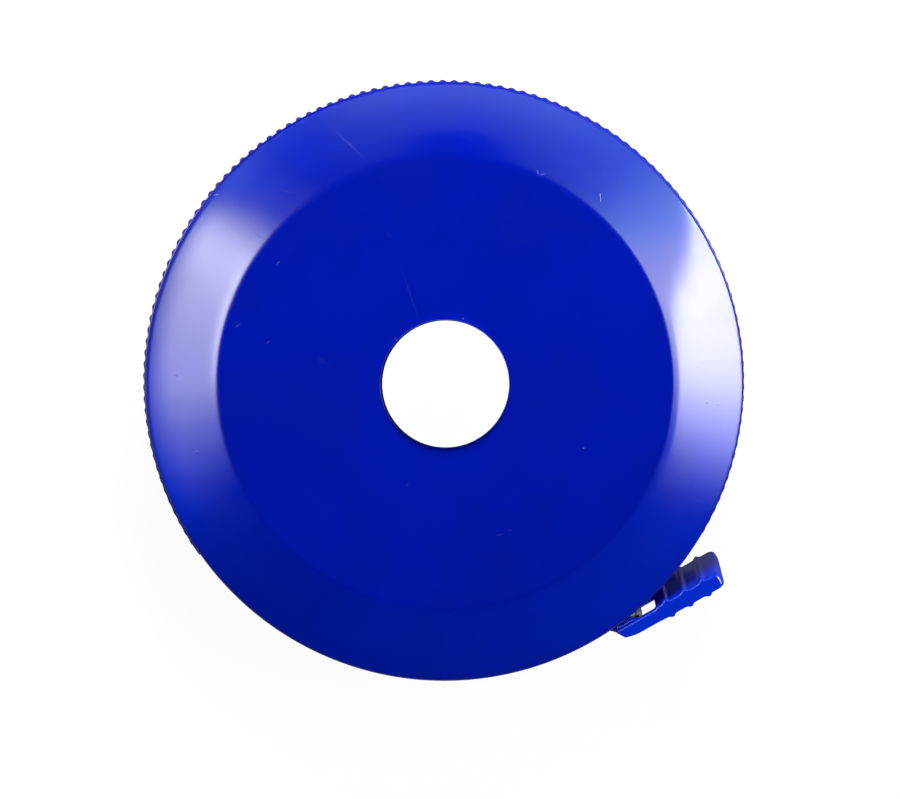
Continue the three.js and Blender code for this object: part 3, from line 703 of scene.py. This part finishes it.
def pale_moulding(name, colour, roughness, flow=0.4, use=1.0, wear_radius=5.2, painted_shade_top=0.0):
    """Pale plastic with moulding waves, flow marks, dust, a rubbed edge, and painted shade below a gap's
    top.
    """
    finish, tree, place = new_finish(name, IOR=1.53)
    skin = grouped(tree, moulded_skin, {"Vector": place, "Wave Length": 3.0, "Grain Share": 0.2})
    hair = grouped(tree, hairlines, {"Vector": place, "Turn": 2.0, "Spread": 0.5})["Mask"]
    dust = grouped(tree, specks, {"Vector": place, "Spacing": 1.6, "Size": 0.045})["Mask"]
    worn = grouped(tree, rim_wear, {"Vector": place, "Radius": wear_radius, "Width": 0.25})["Mask"]
    dull = tuple(c * 0.93 for c in colour)
    base = mixed(product(eased(skin["Mottle"], 0.3, 0.7), flow), colour, dull)
    dirt_and_shade = calc("MAXIMUM", product(dust, 0.6), product(worn, 0.12))
    dirt_and_shade = calc("MAXIMUM", dirt_and_shade, product(hair, 0.12 * use))
    # Below the gap's top the colour darkens to that grey: this is painted shade inside the gap, not dirt.
    if painted_shade_top:
        depth = node(tree, "ShaderNodeSeparateXYZ", {0: place}).outputs[2]
        dirt_and_shade = calc("MAXIMUM", dirt_and_shade, eased(depth, painted_shade_top, painted_shade_top - painted_shade_fade))
    film = eased(skin["Mottle"], 0.35, 0.7, roughness, roughness + 0.1)
    rough = calc("MULTIPLY_ADD", hair, 0.2, film, clamp=True)
    height = calc("MULTIPLY_ADD", hair, -0.8 * use, skin["Height"])
    surfaced(tree, mixed(dirt_and_shade, base, dirt_and_shade_colour), rough, height, skin_depth)
    return finish


# The button's side below the face is darkened: painted shade in the gap round it.
button_white = pale_moulding("button_white_gloss", (0.965, 0.965, 0.96), 0.3, use=0.3, painted_shade_top=12.98)
fitted(push_button, button_white, "button", "button_white", "push_button")

# Pawl disc, reel drum, reel front flange and spring retainer
# The works inside the case, in unpainted white plastic: the three-armed disc that locks the ratchet,
# and the reel in its three parts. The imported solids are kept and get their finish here.

reel_white = pale_moulding("reel_white_plastic", (0.74, 0.72, 0.66), 0.42, flow=0.9, wear_radius=19.0)
for name in ("pawl_disc", "reel_drum", "reel_front_flange", "spring_retainer"):
    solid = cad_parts[name]
    solid.data.materials.clear()
    solid.data.materials.append(reel_white)

# Power spring and button spring
# Bright spring steel. The flat spiral runs from the post's slit to the drum, and its outer hook turns
# with the drum. The small coil spring sits under the button.


def spring_steel(name, streak):
    """Bright steel with drawing streaks and a few darker stains."""
    finish, tree, place = new_finish(name, Metallic=1.0)
    grain = noise(scaled(place, streak), 1.0, 4.0)
    stain = eased(noise(place, 0.4, 3.0), 0.5, 0.75)
    base = mixed(stain, (0.5, 0.51, 0.53), (0.33, 0.3, 0.27))
    surfaced(tree, base, eased(grain, 0.3, 0.7, 0.22, 0.42), grain, 0.006)
    return finish


def strip(name, line, width, thickness, frames=None, middle=mid_plane):
    """A band along a line of points in the plane, standing on edge, with softened edges."""
    u, v, nip = thickness / 2, width / 2, thickness / 4
    section = [
        (-u, nip - v), (nip - u, -v), (u - nip, -v), (u, nip - v),
        (u, v - nip), (u - nip, v), (nip - u, v), (-u, v - nip),
    ]
    shape = bmesh.new()
    rows = []
    for i, point in enumerate(line):
        before, after = line[max(i - 1, 0)], line[min(i + 1, len(line) - 1)]
        run = (after - before).normalized()
        side = Vector((-run.y, run.x, 0))
        up = Vector((0, 0, 1))
        if frames:
            spin = Matrix.Rotation(frames[i], 3, Vector((*run, 0)))
            side, up = spin @ side, spin @ up
        centre = Vector((*point, middle))
        rows.append([shape.verts.new(centre + side * u + up * v) for u, v in section])
    skinned(shape, rows)
    return smoothed(shaped(name, shape), 60)


strip_steel = spring_steel("power_spring_steel", (0.4, 0.4, 9.0))
spring_strip = 0.25
chamber_radius = 10.2
spring_inner = post_radius + running_gap + spring_strip / 2
spring_outer = chamber_radius - running_gap - spring_strip / 2
spring_turns = 7.5
spring_tang = 1.6
spring_low = 3.3
spring_high = 6.25
hook_end = 11.267
hook_play = 0.02
spring_steps = 600
spring_line = [Vector((0, spring_tang - post_radius))]
for i in range(spring_steps + 1):
    angle = math.tau * spring_turns * i / spring_steps - math.pi / 2
    spring_line.append((spring_inner + (spring_outer - spring_inner) * i / spring_steps) * ray(angle))
hook_line = [Vector((0, spring_outer + spring_strip / 2 + hook_play)), Vector((0, hook_end))]
for name, line, carrier, nodes in (
    ("power_spring_spiral", spring_line, "case", ["power_spring"]),
    ("power_spring_hook", hook_line, "reel", []),
):
    band = strip(name, line, spring_high - spring_low, spring_strip, middle=(spring_low + spring_high) / 2)
    fitted(band, strip_steel, carrier, "spring_steel", *nodes)

coil_radius = 2.1
wire_radius = 0.2
coil_low = 7.5
coil_high = 11.15
coil_turns = 5
coil_steps = 40
wire_sides = 12
wire_section = [ray(math.tau * k / wire_sides) * wire_radius for k in range(wire_sides)]
shape = bmesh.new()
rings = []
for i in range(coil_turns * coil_steps + 1):
    height = coil_low + (coil_high - coil_low) * i / (coil_turns * coil_steps)
    across = ray(math.tau * i / coil_steps)
    rings.append([shape.verts.new((*(across * (coil_radius + u)), height + v)) for u, v in wire_section])
skinned(shape, rings)
button_coil = smoothed(shaped("button_coil_spring", shape), 60)
coil_steel = spring_steel("coil_spring_steel", (3.0, 3.0, 3.0))
fitted(button_coil, coil_steel, "case", "spring_steel", "button_spring")
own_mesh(button_coil)

# Tape roll
# The coated cloth tape wound on the reel, drawn as one long strip in a true spiral. Its weave and its
# printed ticks are made in the material, which the free stretch of tape shares.

tape_layer = 0.43
roll_inner = 12.2
roll_turns = (roll_radius - roll_inner - tape_thickness) / tape_layer
steps_per_turn = 90
steps = round(roll_turns * steps_per_turn)
backs = [roll_turns * (1 - i / steps) for i in range(steps + 1)]
roll_line = [(line_radius - tape_layer * back) * ray(foot_angle - math.tau * back) for back in backs]
tape_roll = strip("tape_roll_spiral", roll_line, tape_width, tape_thickness)

# Printed ticks: millimetres, half centimetres and centimetres, each longer than the last
tape_print, given, made = new_group("tape_print", {"Along": 0.0, "From Edge": 0.0}, ["Ink"])
ticks = []
for period, half, length in ((1.0, 0.055, 1.3), (5.0, 0.07, 1.9), (10.0, 0.085, 2.6)):
    share = calc("MULTIPLY_ADD", given["Along"], 1 / period, 0.5)
    off = calc("SUBTRACT", calc("FRACT", share), 0.5)
    off = calc("ABSOLUTE", off)
    on_tick = calc("LESS_THAN", off, half / period)
    in_reach = calc("LESS_THAN", given["From Edge"], length)
    ticks.append(product(on_tick, in_reach))
ink = calc("MAXIMUM", ticks[0], calc("MAXIMUM", ticks[1], ticks[2]))
tape_print.links.new(ink, made["Ink"])


weft_pitch = 0.32
warp_pitch = 0.26


def coated_cloth(name, wound):
    """Off-white coated cloth with its weave and printed ticks, along a straight line or round the reel."""
    finish, tree, place = new_finish(name)
    axes = node(tree, "ShaderNodeSeparateXYZ", {0: place}).outputs
    if wound:
        run = product(calc("ARCTAN2", axes[1], axes[0]), roll_radius)
    else:
        inputs = {0: place, 1: (*pull, 0)}
        run = node(tree, "ShaderNodeVectorMath", inputs, operation="DOT_PRODUCT").outputs["Value"]
    high = calc("ABSOLUTE", calc("SUBTRACT", axes[2], mid_plane))
    edge = calc("SUBTRACT", tape_width / 2, high)
    ink = grouped(tree, tape_print, {"Along": run, "From Edge": edge})["Ink"]
    weft = calc("SINE", product(run, math.tau / weft_pitch))
    warp = calc("SINE", product(axes[2], math.tau / warp_pitch))
    weave = product(weft, warp)
    soil = noise(place, 0.5, 4.0)
    cloth = mixed(eased(soil, 0.35, 0.75), (0.82, 0.8, 0.72), (0.72, 0.69, 0.59))
    threads = mixed(calc("MULTIPLY_ADD", weave, 0.08, 0.08), cloth, (0.6, 0.57, 0.5))
    base = mixed(product(ink, 0.9), threads, (0.03, 0.03, 0.035))
    surfaced(tree, base, eased(soil, 0.3, 0.8, 0.5, 0.7), weave, 0.01)
    return finish


fitted(tape_roll, coated_cloth("wound_tape_cloth", True), "reel", "tape_cloth", "tape_roll")

# Tape lead
# The free stretch of tape between the roll and its end. It runs straight out of the slot and twists a
# little to meet the leaning tab.

bar_distance = (bar_place - foot).length
loop_neck = 2.1
loop_seam = 1.2
lead_start = 0.3
lead_end = bar_distance - loop_neck - loop_seam - running_gap
twist_start = 4.0
lead_steps = 90
lead_line = []
lead_twist = []
for i in range(lead_steps + 1):
    travel = lead_start + (lead_end - lead_start) * i / lead_steps
    line_point = foot + pull * travel
    lead_line.append(line_point.normalized() * max(line_point.length, line_radius + tape_layer))
    lead_twist.append(tab_twist * max(0.0, (travel - twist_start) / (lead_end - twist_start)))
tape_lead = strip("tape_lead_strip", lead_line, tape_width, tape_thickness, lead_twist)
straight_cloth = coated_cloth("straight_tape_cloth", False)
tape_lead.data.materials.append(straight_cloth)
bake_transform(tape_lead)
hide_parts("tape_lead")

# Tape end loop
# The tape's end is folded round the tab's bar and welded to itself over a short double tail.

bar_radius = 0.36
loop_thickness = 0.27
loop_path = [
    (-2.1, -0.135), (-1.2, -0.22), (-0.5, -0.4), (-0.1, -0.54), (0.32, -0.42), (0.62, 0.1), (0.85, 0.7),
    (1.0, 1.25), (0.82, 1.5), (0.35, 1.3), (-0.3, 0.85), (-1.2, 0.42), (-2.1, 0.135),
]


def softened(line, rounds):
    """A line of points with its corners cut again and again."""
    for _ in range(rounds):
        cut_line = [line[0]]
        for a, b in zip(line, line[1:]):
            cut_line += [tuple(0.75 * p + 0.25 * q for p, q in zip(a, b))]
            cut_line += [tuple(0.25 * p + 0.75 * q for p, q in zip(a, b))]
        line = cut_line + [line[-1]]
    return line


def beside(line, distance):
    """The line at a distance to the right of a line, as it is run through."""
    side_line = []
    for i, point in enumerate(line):
        before, after = Vector(line[max(i - 1, 0)]), Vector(line[min(i + 1, len(line) - 1)])
        run = (after - before).normalized()
        side_line.append((point[0] + distance * run.y, point[1] - distance * run.x))
    return side_line


tail_steps = 8
weld_depth = 0.05
corner_nip = 0.1
tail = [loop_neck + loop_seam * i / tail_steps for i in range(tail_steps + 1)]
press = [weld_depth * math.sin(math.tau * i / tail_steps) ** 2 for i in range(tail_steps + 1)]
loop_line = softened(loop_path, 3)
outer = beside(loop_line, loop_thickness / 2)
inner = beside(loop_line, -loop_thickness / 2)
outer += [(-x, loop_thickness - dip) for x, dip in zip(tail, press)]
outer += [(-x, -loop_thickness + dip) for x, dip in reversed(list(zip(tail, press)))]
inner += [(-loop_neck, 0.0)] * (2 * len(tail))
half_width = tape_width / 2
levels = [
    (-half_width, corner_nip), (corner_nip - half_width, 0.0), (half_width - corner_nip, 0.0),
    (half_width, corner_nip),
]
shape = bmesh.new()
outer_rows = []
inner_rows = []
for z, nip in levels:
    outer_rows.append([
        shape.verts.new((x * (1 - nip * 0.2), y * (1 - nip * 0.4), z)) for x, y in outer
    ])
    inner_rows.append([shape.verts.new((x, y, z)) for x, y in inner])
for rows in (outer_rows, inner_rows, *zip(outer_rows[::3], inner_rows[::3])):
    skinned(shape, rows, caps=False)
bmesh.ops.remove_doubles(shape, verts=shape.verts, dist=weld_distance)
shape.transform(bar_frame @ Matrix.Rotation(pull_angle, 4, "Z"))
end_loop = smoothed(shaped("tape_end_fold", shape), 40)
fitted(end_loop, straight_cloth, "tape_end", "tape_cloth", "tape_end_loop")

# Pull tab
# A ribbed blue grip with two arms and a bar, moulded in one piece. The tape's end holds the bar, and
# the arms lie in the hollow of the rim. Its edges are softened as the mould leaves them.

grip_reach = 9.08
window_reach = 2.98
grip_outer = 0.6
grip_inner = 0.64
grip_corner = 0.45
end_rounding = 0.4
end_span = 1.5
rib_first = 3.97
rib_spacing = 1.76
rib_rise = 0.22
rib_ramp = 0.5
rib_step = 0.3
arm_outer = 0.59
arm_inner = 0.52
tab_turn = math.radians(3.6)
tab_lean = 0.022
arm_thickness = 0.8
voxel = 0.075


def rib_crest(x):
    """Height of the grip's ribs at a distance from the bar: a long ramp and a short step."""
    best = 0.0
    for i in range(3):
        off = x - (rib_first + rib_spacing * i)
        if -rib_ramp <= off <= 0:
            best = max(best, 0.5 - 0.5 * math.cos(math.pi * (1 + off / rib_ramp)))
        elif 0 < off <= rib_step:
            best = max(best, 0.5 + 0.5 * math.cos(math.pi * off / rib_step))
    return best * rib_rise


def grip_outline():
    """Outline of the ribbed grip beyond the window, with its far corners rounded."""
    steps = 150
    xs = [window_reach + (grip_reach - grip_corner - window_reach) * i / steps for i in range(steps + 1)]
    lower = [(x, -grip_outer - rib_crest(x)) for x in xs]
    upper = [(x, grip_inner + rib_crest(x)) for x in reversed(xs)]
    low_end = lower[-1][1]
    end = bow(lower[-1], (grip_reach, low_end), (grip_reach, low_end + grip_corner))
    end += [(grip_reach, grip_inner - grip_corner)]
    end += bow(end[-1], (grip_reach, grip_inner), upper[0])[:-1]
    return lower + end + upper


arm_foot = (-0.5, -0.33)
arm_end = window_reach + 0.4
arm_outline = [
    arm_foot, *bow(arm_foot, (0.35, -arm_outer), (0.95, -arm_outer)),
    (arm_end, -arm_outer), (arm_end, arm_inner), (-0.7, arm_inner), (-1.03, arm_inner + 0.12),
]
boss_outline = [
    (-0.95, 0.3), (-0.85, 0.75), (-0.5, 0.95), (0.75, 0.95), (1.15, 0.65), (1.15, 0.0), (-0.7, 0.0),
]
boss_depth = 0.3


def stacked(shape, outline_at, levels):
    """A closed body through outlines at several heights."""
    skinned(shape, [[shape.verts.new((x, y, z)) for x, y in outline_at(z)] for z in levels])


def grip_at(z):
    """The grip's outline, drawn in near its two rounded end corners."""
    past = max(0.0, abs(z) - (tab_half - end_rounding))
    drawn_in = end_rounding - math.sqrt(max(0.0, end_rounding**2 - past**2))
    return [(x - drawn_in * max(0.0, 1 - (grip_reach - x) / end_span), y) for x, y in grip_outline()]


shape = bmesh.new()
corner_levels = [tab_half - end_rounding * (1 - math.sin(math.pi / 2 * i / 10)) for i in range(11)]
stacked(shape, grip_at, [-z for z in reversed(corner_levels)] + corner_levels)
boss_half = tab_half - boss_depth
for low, high in ((-tab_half, arm_thickness - tab_half), (tab_half - arm_thickness, tab_half)):
    stacked(shape, lambda z: arm_outline, [low, high])
    stacked(shape, lambda z: boss_outline, [max(low, -boss_half), min(high, boss_half)])
bar_line = [(bar_radius * math.cos(a), bar_radius * math.sin(a)) for a in ring_of]
bar_half = tab_half - 0.3
stacked(
    shape, lambda z: [(x, y - tab_lean * (tab_half - z)) for x, y in bar_line], [-bar_half, bar_half]
)
pull_tab = shaped("pull_tab_grip", shape)
merger = pull_tab.modifiers.new("moulded in one", "REMESH")
merger.mode = "VOXEL"
merger.voxel_size = voxel * mm
softener = pull_tab.modifiers.new("softened edges", "SMOOTH")
softener.factor = 0.5
softener.iterations = 9
baked(pull_tab)
pull_tab.data.transform(
    Matrix.Scale(mm, 4) @ bar_frame @ Matrix.Rotation(tab_angle + tab_turn, 4, "Z")
    @ Matrix(((1, 0, 0, 0), (0, 1, -tab_lean, tab_lean * tab_half), (0, 0, 1, 0), (0, 0, 0, 1)))
    @ Matrix.Scale(1 / mm, 4)
)
smoothed(pull_tab, 60)
tab_blue = blue_moulding("tab_blue_gloss", (0.0002, 0.032, 0.78), 0.18, 34.2, 2.2)
fitted(pull_tab, tab_blue, "tab", "tab_blue", "pull_tab")

# Floor and light
# A plain white floor, a soft lamp from the top, and a studio drawn in the world: soft boxes at the right
# and left, a dim sheet at the top and a blue cast that only reflections see. Directions are given by
# their angle from straight up (tilt) and their heading from +X, in degrees.

reach = 4.0
floor_drop = 0.05
paper_grey = (0.13, 0.13, 0.13, 1)
paper_glow = 0.935
white = (1, 1, 1, 1)
cool = (0.6, 1.0, 1.1, 1)
blue = (0.0, 0.06, 1, 1)
floor_mesh = bpy.data.meshes.new("floor")
floor_mesh.from_pydata(
    [(-reach, -reach, 0), (reach, -reach, 0), (reach, reach, 0), (-reach, reach, 0)], [], [(0, 1, 2, 3)]
)
floor_mesh.transform(Matrix.Translation((0, 0, -floor_drop * mm)))
placed("floor", floor_mesh)
paper = bpy.data.materials.new("white_paper")
paper.use_nodes = True
tree = paper.node_tree
tree.nodes.clear()
matt = node(tree, "ShaderNodeBsdfDiffuse", {"Color": paper_grey}).outputs[0]
glow = node(tree, "ShaderNodeEmission", {"Color": white, "Strength": paper_glow}).outputs[0]
lit_paper = node(tree, "ShaderNodeAddShader", {0: matt, 1: glow}).outputs[0]
clear = node(tree, "ShaderNodeBsdfTransparent").outputs[0]
seen = node(tree, "ShaderNodeLightPath").outputs["Is Camera Ray"]
behind = node(tree, "ShaderNodeNewGeometry").outputs["Backfacing"]
from_above = product(seen, calc("SUBTRACT", 1.0, behind))
shown = node(tree, "ShaderNodeMixShader", {0: from_above, 1: clear, 2: lit_paper}).outputs[0]
node(tree, "ShaderNodeOutputMaterial", {"Surface": shown})
floor_mesh.materials.append(paper)

world = bpy.data.worlds.new("studio")
world.use_nodes = True
bpy.context.scene.world = world
tree = world.node_tree
tree.nodes.clear()
direction = node(tree, "ShaderNodeTexCoord").outputs["Generated"]
toward = node(tree, "ShaderNodeSeparateXYZ", {0: direction}).outputs
tilt = calc("DEGREES", calc("ARCCOSINE", toward[2]))
heading = calc("DEGREES", calc("ARCTAN2", toward[1], toward[0]))


def sky(colour, strength):
    """Light of one colour from the world."""
    return node(tree, "ShaderNodeBackground", {"Color": colour, "Strength": strength}).outputs[0]


def ramp(value, low, high, stops):
    """A piecewise straight curve through stops of position and level."""
    share = node(tree, "ShaderNodeMapRange", {"Value": value, "From Min": low, "From Max": high}).outputs[0]
    curve = node(tree, "ShaderNodeValToRGB", {"Fac": share})
    points = curve.color_ramp.elements
    places = [(place - low) / (high - low) for place, _ in stops]
    points[0].position, points[1].position = places[0], places[-1]
    for place in places[1:-1]:
        points.new(place)
    for point, (_, level) in zip(points, stops):
        point.color = (level, level, level, 1)
    return node(tree, "ShaderNodeSeparateColor", {"Color": curve.outputs[0]}).outputs[0]


turned_heading = calc("RADIANS", heading)
rightward = product(tilt, calc("COSINE", turned_heading))
upward = product(tilt, calc("SINE", turned_heading))
edge_range = 50.0
box_edge = product(edge_range, ramp(upward, -10, 30, [
    (-4, 0.55), (0, 0.552), (2, 0.555), (4, 0.565), (6, 0.575), (8, 0.6), (9.6, 0.625), (11.4, 0.66),
    (14, 0.7), (16.7, 0.73), (19.4, 0.755), (22, 0.765), (24, 0.77),
]))
right_box = product(
    7.0, eased(calc("SUBTRACT", rightward, box_edge), -0.4, 1.0),
    ramp(heading, -40, 60, [
        (-28, 0), (-23.5, 0.06), (-20, 0.14), (-14.3, 0.35), (-10, 0.5), (-4.9, 0.69), (0, 0.82), (5, 0.9),
        (12, 0.93),
    ]),
    ramp(upward, -30, 30, [(23.5, 1), (26, 0)]), eased(tilt, 54.0, 47.0),
)
right_sheet = product(
    3.1, ramp(heading, -40, 100, [
        (-26, 0), (-20, 0.05), (-15, 0.17), (-10, 0.37), (-5, 0.62), (0, 0.85), (5, 1), (14.6, 0.98),
        (24.5, 0.74), (30, 0.48), (36, 0.3), (46.5, 0.085), (57, 0.03), (67.5, 0.01), (78, 0),
    ]),
    eased(tilt, 18.0, 21.0), eased(tilt, 54.0, 47.0),
)
notch_edge = product(edge_range, ramp(heading, 50, 120, [
    (64, 0.4), (70.6, 0.54), (77.4, 0.61), (92.5, 0.59), (97.7, 0.49), (102, 0.4),
]))
notch = eased(calc("SUBTRACT", tilt, notch_edge), -0.6, 0.6)
top_sheet = product(
    0.65, notch,
    ramp(heading, 20, 170, [
        (38, 0), (60, 1), (100, 0.95), (110, 0.75), (120, 0.4), (127, 0.4), (136, 0.9), (144, 0.5),
        (150, 0),
    ]),
    ramp(tilt, 15, 60, [
        (18, 0), (20, 0.12), (27, 0.2), (30, 0.3), (31.5, 0.5), (33, 0.38), (36, 0.5), (40, 0.85), (44, 1),
        (50, 1), (57, 0),
    ]),
)
far_heading = calc("MODULO", calc("ADD", heading, 360.0), 360.0)
left_box = product(
    6.2, ramp(far_heading, 110, 230, [
        (132, 0), (139, 0.015), (143, 0.1), (147, 0.62), (151, 1), (158, 0.83), (164, 0.66), (174.6, 0.52),
        (185, 0.46), (190, 0.35), (195, 0.2), (205, 0.04), (212, 0),
    ]),
    eased(tilt, 17.0, 21.0), eased(tilt, 46.5, 36.0),
)
left_edge = product(
    2.6, ramp(far_heading, 120, 220, [(152, 0), (160, 1), (178, 0.85), (186, 0.5), (192, 0)]),
    eased(tilt, 17.0, 20.0), eased(tilt, 27.0, 24.0),
)
fill = product(0.1, eased(tilt, 50.0, 65.0))
glossy = node(tree, "ShaderNodeLightPath").outputs["Is Glossy Ray"]
pale_ground = product(0.5, eased(tilt, 84.0, 92.0))
dark_ground = product(eased(tilt, 126.0, 100.0, 0.03, 0.8), pale_ground)
light = node(tree, "ShaderNodeMix", {"Factor": glossy, 2: pale_ground, 3: dark_ground}).outputs[0]
blue_cast = product(
    glossy, notch, ramp(far_heading, 0, 360, [
        (0, 0.6), (10, 0.4), (24, 0.3), (39, 0.05), (55, 0), (120, 0), (128, 0.1), (137, 0.28), (146, 0),
        (153.4, 0), (169.5, 0.12), (185.3, 0.54), (200.7, 0.85), (208, 0.7), (215.7, 0.27), (230.3, 0.14),
        (244.6, 0.17), (258.6, 0.17), (272.4, 0.23), (286.1, 0.24), (299.8, 0.32), (313.4, 0.33),
        (327.1, 0.48), (333, 0.6), (341, 0.9), (350, 0.85), (360, 0.6),
    ]),
    ramp(tilt, 10, 60, [(19, 0), (22, 0.5), (27, 0.58), (34, 0.76), (39, 1), (48, 1), (56, 0)]),
)
cool_share = eased(heading, 20.0, 38.0)
warm_sheet = product(right_sheet, calc("SUBTRACT", 1.0, cool_share))
cool_sheet = product(right_sheet, cool_share, 1.6)
for part in (right_box, warm_sheet, left_box, left_edge, fill):
    light = calc("ADD", light, part)
shine = calc("MULTIPLY_ADD", glossy, 0.32, 0.68)
cool_part = product(calc("ADD", top_sheet, cool_sheet), shine)
studio = sky(white, product(light, shine))
for colour, strength in ((cool, cool_part), (blue, product(3.3, blue_cast))):
    studio = node(tree, "ShaderNodeAddShader", {0: studio, 1: sky(colour, strength)}).outputs[0]
seen = node(tree, "ShaderNodeLightPath").outputs["Is Camera Ray"]
shown = node(tree, "ShaderNodeMixShader", {0: seen, 1: studio, 2: sky(white, 1.0)}).outputs[0]
node(tree, "ShaderNodeOutputWorld", {"Surface": shown})

lamp_heading = 86
lamp_tilt = 60
lamp_distance = 150
lamp_data = bpy.data.lights.new("top_lamp", "AREA")
lamp_data.size = 100 * mm
lamp_data.energy = 0.335
lamp = placed("top_lamp", lamp_data)
lamp.matrix_world = (
    Matrix.Translation((0, 0, case_thickness * mm))
    @ Matrix.Rotation(math.radians(lamp_heading - 90), 4, "Z")
    @ Matrix.Rotation(math.radians(-lamp_tilt), 4, "X") @ Matrix.Translation((0, 0, lamp_distance * mm))
)
lamp.visible_glossy = False

# Camera
# Almost straight above the face, a little to the left and towards the top, from 60 cm away.

aim = Vector((0.42, -1.395, 11.0)) * mm
view_width = 75.27
view_distance = 600
left_lean = math.radians(1.5)
top_lean = math.radians(2.9)
back = Vector((-math.sin(left_lean), math.sin(top_lean), 1)).normalized()
lens = bpy.data.cameras.new("camera")
lens.sensor_width = 36
lens.lens = lens.sensor_width * view_distance / view_width
camera = placed("camera", lens)
sideways = Vector((0, 1, 0)).cross(back).normalized()
turn = Matrix((sideways, back.cross(sideways), back)).transposed()
camera.matrix_world = Matrix.Translation(aim + back * view_distance * mm) @ turn.to_4x4()
bpy.context.scene.camera = camera
bpy.context.scene.view_settings.view_transform = "Standard"
